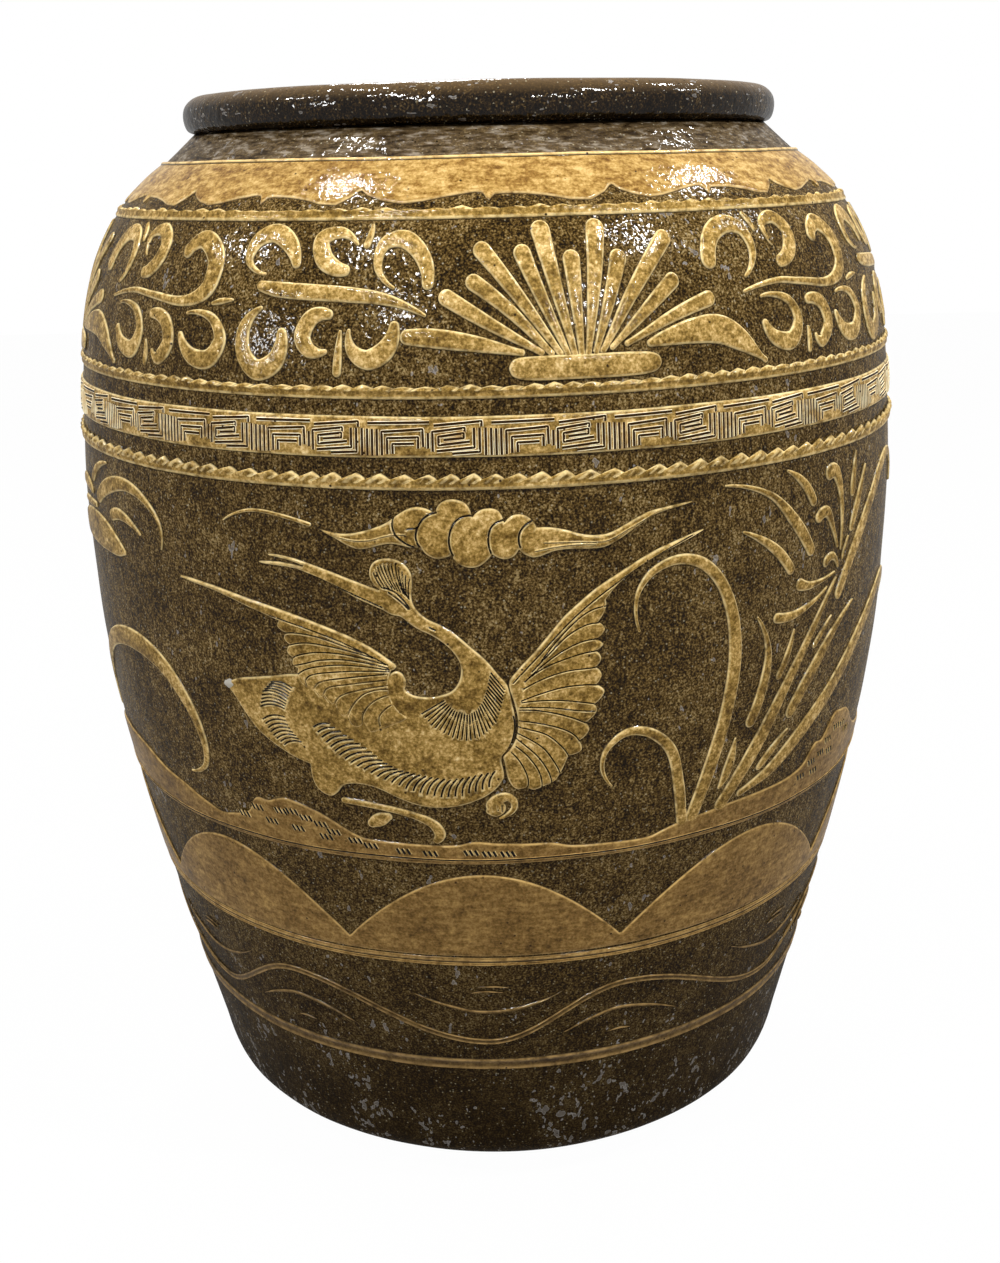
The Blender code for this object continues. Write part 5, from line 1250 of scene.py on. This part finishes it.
def cranePieces():
    f = craneForm
    bodyCuts = singleCuts(map(onCrane, f["bodyCuts"]), f["bodyCut"])
    for first, second, *how in f["hatches"]:
        bodyCuts += crossHatch(onCrane(first), onCrane(second), *how)
    leftCuts = singleCuts(map(onCrane, f["leftFeathers"]), f["featherCut"])
    leftCuts += singleCuts([onCrane(f["leftRoot"])[:-1]], f["rootCut"])
    rightCuts = singleCuts(map(onCrane, f["rightFeathers"]), f["featherCut"])
    toeCuts = singleCuts(map(onCrane, f["toeCuts"]), f["toeCut"])

    def outline(key, *turns):
        return pictureOutline(onCrane(f[key]), *turns)

    for name, node, parts in (
            ("craneBody", "crane_body", [plate(outline("body"), f["bodyCrest"], bodyCuts)]),
            ("craneLeftWing", "crane_left_wing", [plate(outline("leftWing", 110, 30), f["wingCrest"], leftCuts)]),
            ("craneRightWing", "crane_right_wing", [plate(outline("rightWing", 110, 30), f["wingCrest"], rightCuts)]),
            ("craneLeg", "crane_leg", [stroke(onCrane(f["leg"]), f["legCrest"], widen=f["legWiden"])]),
            ("craneFoot", "crane_foot", [stroke(onCrane(f["foot"]), f["legCrest"], widen=f["footWiden"]),
                                         plate(outline("toe"), f["legCrest"], toeCuts)])):
        layPiece(name, parts, ochre, *numbered(2, node), copies=2)


cranePieces()
# Chip on the tip of the tail, on the front only
layPiece("tailChip", [stroke(onCrane(craneForm["chip"]), craneForm["bodyCrest"] + craneForm["chipRise"])], chip,
         slot="bare_clay")

cloudForm = {
    "frameShares": (-0.1905, 0.7814, 0.3209, 0.2468), "gridShares": (100.0, 20.0), "crest": 1.8 * mm,
    "tailCrest": 1.2 * mm, "lobeCut": 1.15 * mm, "tailRidge": 0.8 * mm,
    "body": (
        (24.4, 10.2), (28, 9.4), (31, 9.2), (34, 9.7), (37, 10.6), (39.5, 11.7), (41, 12.8), (43.5, 14.3),
        (45.5, 14.8), (47.5, 14.4), (49, 13.6), (49.8, 15.3), (51.5, 16.2), (53.5, 16.1), (55.2, 15.2),
        (56.2, 12.8), (57.5, 14), (59.5, 14.4), (61.3, 13.8), (62.3, 11.6), (63.8, 12.9), (65.8, 13),
        (67.5, 12), (68.5, 10.4), (71, 10.3), (74, 9.7), (77, 8.7), (80, 8.2), (83, 8.5), (86, 9.8),
        (89, 11.2), (92, 12.1), (101, 13), (101, 12.6), (93, 11.1), (90, 9.7), (87, 8), (84, 6.3), (81, 5.4),
        (75, 5.6), (72, 5.4), (68, 4.3), (66, 5), (65, 6), (63.8, 4.6), (62, 4.2), (59.8, 5.2), (58.6, 3.8),
        (57, 2.8), (55, 2.7), (53, 3.6), (52, 5.2), (50.5, 4.6), (48.8, 4.5), (47, 5.4), (46, 6.8),
        (44.5, 6.6), (40, 7.3), (34, 6), (31.5, 6.6), (29.5, 7.6), (27, 8.8)),
    "tail": ((23.4, 10.5, 1.0), (15, 12.2, 0.9), (10, 12.4, 0.8), (6, 11.4, 0.7), (3, 9.8, 0.4)),
    "lobeCuts": (
        ((41, 13), (40.7, 10.8), (41.6, 8.8), (44.8, 6.9)), ((49.3, 13.6), (46.8, 12.5), (45.2, 9.4), (46, 6.8)),
        ((56, 13), (53, 12), (51.6, 8.6), (52.3, 5.2)), ((62.3, 12), (60, 11), (59.1, 8.6), (59.6, 5.6)),
        ((45.6, 10.6), (43.6, 10.4)), ((67.5, 11.6), (65.2, 9.6), (65.2, 6.6))),
    "tailLines": (
        ((30, 8.4), (35, 8.0), (40, 9.2), (43, 9.4)), ((70, 7.4), (76, 7.2), (82, 7.0), (87, 9.1), (92, 11.4)),
        ((68, 5.8), (74, 6.6), (80, 6.4))),
}


def onCloud(table):
    return onGrid(table, cloudForm["frameShares"], cloudForm["gridShares"], mainField)


cloudCuts = singleCuts(map(onCloud, cloudForm["lobeCuts"]), cloudForm["lobeCut"])
cloudCuts += singleCuts(map(onCloud, cloudForm["tailLines"]), cloudForm["tailRidge"], True)
layPiece("cloud", [plate(pictureOutline(onCloud(cloudForm["body"]), 100, 40), cloudForm["crest"], cloudCuts)],
         ochre, *numbered(2, "cloud"), copies=2)
layPiece("cloudTail", [stroke(onCloud(cloudForm["tail"]), cloudForm["tailCrest"])],
         ochre, *numbered(2, "cloud_tail"), copies=2)
print("cranes and clouds laid")

plantForm = {
    "reedFrameShares": (0.0602, 0.0100, 0.3851, 0.9874), "reedGridShares": (120.0, 80.0),
    "leafFrameShares": (-0.4011, 0.0100, 0.1926, 0.9874), "leafGridShares": (60.0, 80.0), "crest": 1.5 * mm,
    "widen": (1.1, 0.5 * mm), "pebbleWiden": (1.4, 0.3 * mm), "root": 6.5 * mm,
    "rootedNodes": ("small_reed", "tall_reed", "flower_stem", "long_reed"),
    "reeds": (
        ("small_reed", ((23.4, 6.6, 2.6), (22, 14, 2.6), (19.4, 22.6, 2.4), (14.4, 27.4, 2.1), (9, 28.4, 1.7),
                        (4.6, 25, 1.2), (3.8, 20.6, 0.9), (6, 16.4, 0.4))),
        ("tall_reed", ((26.9, 7.2, 3.2), (29.6, 16, 3.4), (32.6, 28, 3.3), (34, 41, 3.2), (32.8, 50.6, 2.9),
                       (29.4, 58.2, 2.5), (24.4, 62.8, 2.3), (18.6, 63.9, 1.9), (13.2, 61.6, 1.5),
                       (10.4, 57, 0.9), (11, 50.2, 0.5))),
        ("flower_stem", ((35.2, 7.9, 3.2), (43, 19, 3.8), (52, 33.5, 2.8), (61, 45.5, 1.8), (66.4, 51.6, 0.8))),
        ("long_reed", ((41.4, 8.4, 1.8), (48, 10.9, 3.0), (56, 16, 3.8), (72, 27, 4.2), (84.5, 36, 4.0),
                       (99, 43, 3.5), (109, 42.3, 3.0), (117, 36.5, 2.3), (121.5, 28, 1.6), (122.5, 17, 0.5))),
        ("upper_reed", ((68.3, 47.8, 2.8), (75, 56.4, 3.5), (84.5, 66, 3.6), (95, 72.8, 3.0), (104, 73.3, 2.0),
                        (109.4, 69.3, 1.2), (111, 65, 0.5)))),
    "sprays": (
        ((33, 10.8, 1.0), (34.9, 15.2, 2.6), (36, 21.8, 0.5)),
        ((44.4, 12.8, 1.6), (48.2, 16.2, 2.1), (52.6, 19.8, 0.5)),
        ((40, 25, 2.8), (42.8, 33, 2.7), (43.3, 41, 1.8), (39.7, 48.5, 0.5)),
        ((47.4, 33.8, 1.8), (49.8, 38.4, 1.7), (51.2, 43.4, 0.5)),
        ((53, 24, 3.0), (59.6, 32, 3.6), (67, 39, 2.4), (76, 44.4, 0.5)),
        ((59.4, 37.9, 1.4), (62, 40.1, 1.6), (65.6, 43.2, 0.5)),
        ((45.5, 47.2, 2.2), (51, 46.8, 1.9), (58, 48.4, 1.1), (62.6, 50.4, 0.5)),
        ((52.4, 53.2, 2.6), (57, 52.2, 1.6), (65.6, 53.2, 0.5)),
        ((61.8, 56.2, 2.2), (64.6, 57, 1.8), (66.9, 54.2, 0.6)),
        ((58.3, 66.8, 2.6), (61.4, 67.3, 2.4), (64, 63.4, 1.5), (66.2, 58.8, 0.6)),
        ((62.3, 75.6, 3.2), (65, 75.2, 3.0), (67.4, 69, 1.7), (67.8, 58, 0.6)),
        ((68.8, 55.6, 0.5), (69.8, 57.8, 0.7), (71.2, 60, 0.5)),
        ((72.6, 69.8, 2.2), (73.4, 74, 1.9), (74.4, 78.2, 0.5)),
        ((72.8, 61.8, 2.0), (76, 67.8, 2.4), (79.8, 74.4, 0.5)),
        ((56, 70.6, 2.2), (52.6, 75, 2.0), (47.5, 78.2, 0.5)),
        ((55.6, 60.2, 2.6), (49.6, 67.6, 2.7), (42, 74.2, 1.4), (30.5, 77.4, 0.4)),
        ((49, 57.2, 2.3), (43.5, 62.8, 2.1), (35, 67.4, 0.5))),
    "leaves": (
        ("arching_blade", ((-7.5, 12.2, 2.0), (-3.4, 19.8, 2.6), (4, 28.5, 3.2), (13.4, 35, 3.8), (24, 38.6, 4.4),
                           (35, 39, 4.6), (44.4, 36, 4.1), (51.4, 29.2, 3.2), (54.8, 21, 2.2),
                           (53.8, 14.8, 1.5), (48, 11.8, 0.5))),
        ("broad_leaf", ((-3, 60.6, 4.0), (4, 61.5, 6.6), (12, 61.9, 7.5), (21, 61.5, 6.8), (28, 60.2, 4.2),
                        (32, 59.6, 1.2)))),
    "smallLeaves": (
        ((18, 69.9, 3.0), (25, 73.4, 3.5), (34, 75.1, 2.8), (42, 73.6, 1.9), (48.4, 69, 0.9), (48.6, 63.4, 0.4)),
        ((26.6, 67.2, 2.6), (32.6, 67.9, 2.3), (40.6, 65.2, 0.5)),
        ((13.4, 73.6, 2.2), (18, 76.7, 1.7), (24.4, 78.4, 0.5)),
        ((1, 71.4, 2.6), (7, 71.2, 2.8), (11.4, 70.2, 1.8)),
        ((3, 67.0, 1.7), (9, 67.1, 1.9), (14.4, 67.3, 1.4))),
}


def onReeds(table):
    return onGrid(table, plantForm["reedFrameShares"], plantForm["reedGridShares"], mainField)


def onLeaves(table):
    return onGrid(table, plantForm["leafFrameShares"], plantForm["leafGridShares"], mainField)


def rooted(spine, more):
    # The lower end of a stem or blade runs on to what it grows from
    spine = spine if spine[0, 1] < spine[-1, 1] else spine[::-1]
    way = spine[0, :2] - spine[1, :2]
    foot = spine[:1].copy()
    foot[0, :2] += way / np.hypot(*way) * more
    return np.concatenate([foot, spine])


def camel(name):
    first, *rest = name.split("_")
    return first + "".join(word.capitalize() for word in rest)


for table, place in ((plantForm["reeds"], onReeds), (plantForm["leaves"], onLeaves)):
    for node, spine in table:
        spine = rooted(place(spine), plantForm["root"]) if node in plantForm["rootedNodes"] else place(spine)
        layPiece(camel(node), [stroke(spine, plantForm["crest"], widen=plantForm["widen"])],
                 ochre, *numbered(2, node), copies=2)
sprays = [stroke(spine, plantForm["crest"], widen=plantForm["widen"])
          for spine in [*map(onReeds, plantForm["sprays"]), *map(onLeaves, plantForm["smallLeaves"])]]
sprays.append(stroke(onCrane(craneForm["pebble"]), plantForm["crest"], widen=plantForm["pebbleWiden"]))
layPiece("smallLeaves", sprays, ochre, copies=2)
print("plants laid")


# Shoulder frieze

friezeForm = {
    "tiles": 4, "gridShares": (155.8, 34.0), "tuftFrameShares": (-0.1203, -0.0119, 1.0, 0.9917),
    "scrollFrameShares": (0.2379, -0.0119, 1.0, 0.9917), "crest": 1.5 * mm, "boatCrest": 1.6 * mm,
    "boatLift": 0.3 * mm, "widen": (1.4, 0.4 * mm), "bladeWiden": (1.25, 2.2 * mm), "root": 4.0 * mm,
    "boat": (
        (23.2, 6), (24.2, 7.6), (27, 8.1), (40, 8.2), (51, 8.0), (53.6, 7.2), (54.2, 5.6), (53, 4.1),
        (50, 3.5), (38, 3.4), (27, 3.5), (24, 4.3)),
    "blades": (
        ((11.4, 19.2, 2.3), (20, 14.1, 1.7), (28.6, 9.3, 0.7)),
        ((16.8, 22.0, 2.3), (24, 16.4, 1.7), (30.8, 9.4, 0.7)),
        ((18.6, 28.2, 2.6), (25.7, 19.2, 1.8), (32.7, 9.4, 0.7)),
        ((26.9, 27.4, 2.6), (30.2, 19, 1.7), (34.4, 9.4, 0.7)),
        ((31.1, 32.0, 3.0), (33.0, 22, 2.0), (36, 9.4, 0.7)),
        ((37, 26, 2.6), (37.2, 18, 1.7), (37.6, 9.4, 0.7)),
        ((43, 32.0, 3.0), (41.2, 21, 2.0), (39.2, 9.4, 0.7)),
        ((47.0, 25.8, 2.6), (44.1, 18, 1.7), (40.9, 9.4, 0.7)),
        ((58.2, 29.4, 2.6), (49.4, 19.5, 2.0), (42.7, 9.6, 0.7)),
        ((58.3, 20.9, 2.3), (51.4, 15.4, 1.6), (44.9, 9.9, 0.6)),
        ((66.4, 17.0, 2.2), (57.5, 14.2, 1.6), (48.2, 10.1, 0.6)),
        ((3.6, 12, 2.0), (10, 11.6, 2.6), (18, 10.4, 2.0), (24.6, 9.0, 0.8)),
        ((52.0, 9.4, 0.9), (56.2, 10.3, 2.3), (62, 11.1, 3.6), (68, 11.0, 4.2), (73, 8.8, 3.4),
         (78.6, 4.9, 0.7))),
    "hookStem": (
        (103.8, 28.2, 2.4), (108, 30.7, 3.0), (113.2, 26.8, 3.5), (112.4, 20.8, 2.9), (106, 18, 1.7),
        (94, 18.8, 1.2), (86, 19.4, 1.0), (76, 17.8, 0.5)),
    "scrollsNear": (
        ((68.2, 24.5, 2.8), (70.4, 29.4, 3.0), (75, 31.7, 3.0), (79.6, 30.4, 2.4), (80.8, 25.4, 1.6),
         (77.2, 20.8, 0.6)),
        ((88.8, 23.2, 2.0), (93, 25.4, 2.9), (94.4, 29.6, 3.0), (91, 32.6, 2.4), (86.6, 31.2, 1.5),
         (87.6, 26.8, 0.5)),
        ((80.6, 11.2, 1.4), (83.2, 8.2, 2.4), (88.2, 7.4, 2.8), (90.9, 11.4, 2.2), (88.2, 15.6, 1.5),
         (80.5, 16.6, 0.5)),
        ((95.4, 15.0, 1.6), (100.4, 13.8, 2.5), (102, 9.6, 2.7), (98.6, 6.2, 2.1), (96.6, 7.6, 0.7)),
        ((106, 11.2, 1.2), (109.4, 7.4, 2.5), (114.6, 7, 2.8), (117.5, 11, 2.4), (114.4, 15.1, 1.5),
         (107.5, 15.6, 0.5))),
    "scrollsFar": (
        ((78.8, 26, 1.6), (76.4, 30, 2.8), (72, 32.2, 3.0), (67.8, 30.4, 2.6), (67, 26.2, 1.4), (71.6, 23.8, 0.5)),
        ((90, 24.6, 1.8), (85.4, 26.6, 2.9), (84, 30.8, 2.7), (88.4, 32.2, 1.8), (92.2, 29.8, 0.6)),
        ((107.6, 21.9, 1.8), (106.6, 26.8, 2.5), (102.6, 30.7, 2.8), (98.2, 29.8, 2.1), (97.2, 25, 1.3),
         (100.6, 21.2, 0.5)),
        ((71, 21.5, 1.6), (76, 20.8, 2.3), (92, 19.9, 2.2), (100, 18.8, 1.6), (107, 16, 0.5)),
        ((77, 12.4, 1.8), (75.8, 7.4, 2.9), (71.4, 5.4, 3.0), (68, 8.6, 2.7), (68, 13.6, 2.2), (71.6, 17.2, 0.7)),
        ((87.2, 16.2, 1.6), (83.6, 15.6, 2.5), (81.7, 12, 2.7), (83.4, 9.4, 2.2), (86.8, 9.2, 0.8)),
        ((101, 14, 1.6), (99.4, 9.8, 2.8), (95.6, 7.8, 2.8), (92.4, 9.6, 1.9), (91.7, 13.2, 0.6))),
    "ticksNear": (((81.7, 33.6, 0.9), (82.9, 32, 1.2), (83.4, 30, 0.6)),
                  ((114.6, 17.8, 0.6), (117, 18.3, 1.0), (120, 18.6, 0.4)),
                  ((94, 9.4, 0.5), (94.2, 7.2, 1.2), (93.9, 4.9, 1.0))),
    "ticksFar": (((95.2, 33.6, 0.6), (95, 32, 1.1), (94.3, 29.6, 1.2)),
                 ((89.9, 13, 0.5), (89.6, 9.6, 1.2), (89.3, 5.4, 1.4))),
}


def onTuft(table):
    return onGrid(table, friezeForm["tuftFrameShares"], friezeForm["gridShares"], friezeField)


def onScroll(table):
    return onGrid(table, friezeForm["scrollFrameShares"], friezeForm["gridShares"], friezeField)


tiles = friezeForm["tiles"]
boat = plate(pictureOutline(onTuft(friezeForm["boat"])), friezeForm["boatCrest"], lift=friezeForm["boatLift"])
layPiece("tuftBoat", [boat], friezeLitOchre, *numbered(tiles, "tuft_boat"), copies=tiles)
stem = stroke(onTuft(friezeForm["hookStem"]), friezeForm["crest"], widen=friezeForm["widen"])
layPiece("hookScroll", [stem], friezeLitOchre, *numbered(tiles, "hook_scroll"), copies=tiles)
blades = [stroke(rooted(onTuft(spine), friezeForm["root"]), friezeForm["crest"], widen=friezeForm["bladeWiden"])
          for spine in friezeForm["blades"]]
layPiece("tuftBlades", blades, friezeLitOchre, copies=tiles)
scrolls = [*map(onTuft, friezeForm["scrollsNear"] + friezeForm["ticksNear"]),
           *map(onScroll, friezeForm["scrollsFar"] + friezeForm["ticksFar"])]
scrolls = [stroke(spine, friezeForm["crest"], widen=friezeForm["widen"]) for spine in scrolls]
layPiece("friezeScrolls", scrolls, friezeLitOchre, copies=tiles)
print("frieze laid")
bpy.data.objects.remove(wallCurve, do_unlink=True)


# Stage, camera and light

stageForm = {
    "floorColour": "#c4c2be", "floorRoughness": 0.9, "cameraWhite": 0.985, "floorHalf": 6.0, "fill": 0.13,
    "cameraPlace": (0.0, -1.203, 0.7528), "pitch": 0.30841, "yaw": -0.005785, "roll": -0.023001,
    "focalPixels": 1486.9, "imageHigh": 1263.0, "sensor": 36.0,
    # soft lamps: place, what they face, size, watts, and whether they show as highlights only
    "lamps": (
        ("frontLeftLamp", (-1.05, -1.40, 2.45), (0.0, -0.15, 0.55), 0.22, 53.0, False),
        ("frontRightLamp", (1.32, -1.02, 2.38), (0.0, -0.15, 0.55), 0.23, 54.0, False),
        ("lowRightLamp", (1.14, -2.16, 1.7), (0.0, -0.15, 0.65), 0.15, 32.0, True),
        ("lowLeftLamp", (-0.9, -2.2, 1.8), (0.0, -0.15, 0.65), 0.20, 26.0, True),
        ("lowSideLamp", (-2.15, -1.4, 1.3), (-0.13, -0.27, 0.65), 0.25, 20.0, True),
        ("rightLamp", (2.0, 0.08, 2.17), (0.16, -0.23, 0.71), 0.18, 14.0, True),
        ("leftLamp", (-2.0, -0.45, 2.2), (-0.15, -0.1, 0.65), 0.18, 26.0, True),
        ("backLeftLamp", (-0.72, 0.05, 2.4), (-0.08, -0.1, 0.73), 0.13, 17.0, False),
        ("backRightLamp", (1.2, 0.5, 2.3), (0.1, -0.1, 0.73), 0.15, 22.0, False),
        ("backLamp", (-0.2, 2.3, 2.2), (0.0, 0.15, 0.45), 0.5, 44.0, False)),
}
white = (1.0, 1.0, 1.0, 1.0)


def seenDirectly(tree):
    # 1 for the camera's rays and for those that mirror or pass glass
    path = addNode(tree, "ShaderNodeLightPath").outputs
    first = addNode(tree, "ShaderNodeMath", [path["Is Camera Ray"], path["Is Transmission Ray"]], operation="MAXIMUM")
    return addNode(tree, "ShaderNodeMath", [first, path["Is Glossy Ray"]], operation="MAXIMUM")


def makeFloor():
    # The camera, mirrors and glass see it almost plain white
    mesh = bpy.data.meshes.new("floor")
    bm = bmesh.new()
    bmesh.ops.create_grid(bm, x_segments=2, y_segments=2, size=stageForm["floorHalf"])
    bm.to_mesh(mesh)
    bm.free()
    material = bpy.data.materials.new("paleFloor")
    material.use_nodes = True
    tree = material.node_tree
    shader = tree.nodes["Principled BSDF"]
    shader.inputs["Base Color"].default_value = linearColour(stageForm["floorColour"])
    shader.inputs["Roughness"].default_value = stageForm["floorRoughness"]
    share = addNode(tree, "ShaderNodeMath", [seenDirectly(tree), stageForm["cameraWhite"]], operation="MULTIPLY")
    bright = addNode(tree, "ShaderNodeEmission", {"Color": white, "Strength": 1.0})
    mixed = addNode(tree, "ShaderNodeMixShader", [share, shader, bright])
    tree.links.new(mixed.outputs[0], tree.nodes["Material Output"].inputs["Surface"])
    mesh.materials.append(material)
    newObject("floor", mesh)


def makeWorld():
    world = bpy.data.worlds.new("studio")
    bpy.context.scene.world = world
    world.use_nodes = True
    tree = world.node_tree
    fill = tree.nodes["Background"]
    fill.inputs["Color"].default_value = white
    fill.inputs["Strength"].default_value = stageForm["fill"]
    bright = addNode(tree, "ShaderNodeBackground", {"Color": white, "Strength": 1.0})
    mixed = addNode(tree, "ShaderNodeMixShader", [seenDirectly(tree), fill, bright])
    tree.links.new(mixed.outputs[0], tree.nodes["World Output"].inputs["Surface"])


def makeLamps():
    for name, place, aim, size, watts, glossOnly in stageForm["lamps"]:
        lamp = bpy.data.lights.new(name, "AREA")
        lamp.shape = "RECTANGLE"
        lamp.size = lamp.size_y = size
        lamp.energy = watts
        holder = newObject(name, lamp)
        holder.visible_diffuse = not glossOnly
        way = Vector(aim) - Vector(place)
        holder.matrix_world = Matrix.Translation(place) @ way.to_track_quat("-Z", "Y").to_matrix().to_4x4()


def makeCamera():
    f = stageForm
    data = bpy.data.cameras.new("camera")
    data.sensor_width = f["sensor"]
    data.lens = f["focalPixels"] / f["imageHigh"] * f["sensor"]
    camera = newObject("camera", data)
    up = Vector((0, 0, 1))
    right = Vector((math.cos(f["yaw"]), math.sin(f["yaw"]), 0))
    level = Vector((-math.sin(f["yaw"]), math.cos(f["yaw"]), 0))
    ahead = level * math.cos(f["pitch"]) - up * math.sin(f["pitch"])
    top = up * math.cos(f["pitch"]) + level * math.sin(f["pitch"])
    turnedRight = right * math.cos(f["roll"]) + top * math.sin(f["roll"])
    turnedTop = top * math.cos(f["roll"]) - right * math.sin(f["roll"])
    turn = Matrix((turnedRight, turnedTop, -ahead)).transposed().to_4x4()
    camera.matrix_world = Matrix.Translation(f["cameraPlace"]) @ turn
    bpy.context.scene.camera = camera


makeFloor()
makeWorld()
makeLamps()
makeCamera()
bpy.context.scene.view_settings.view_transform = "Standard"
print("stage, lamps and camera set")
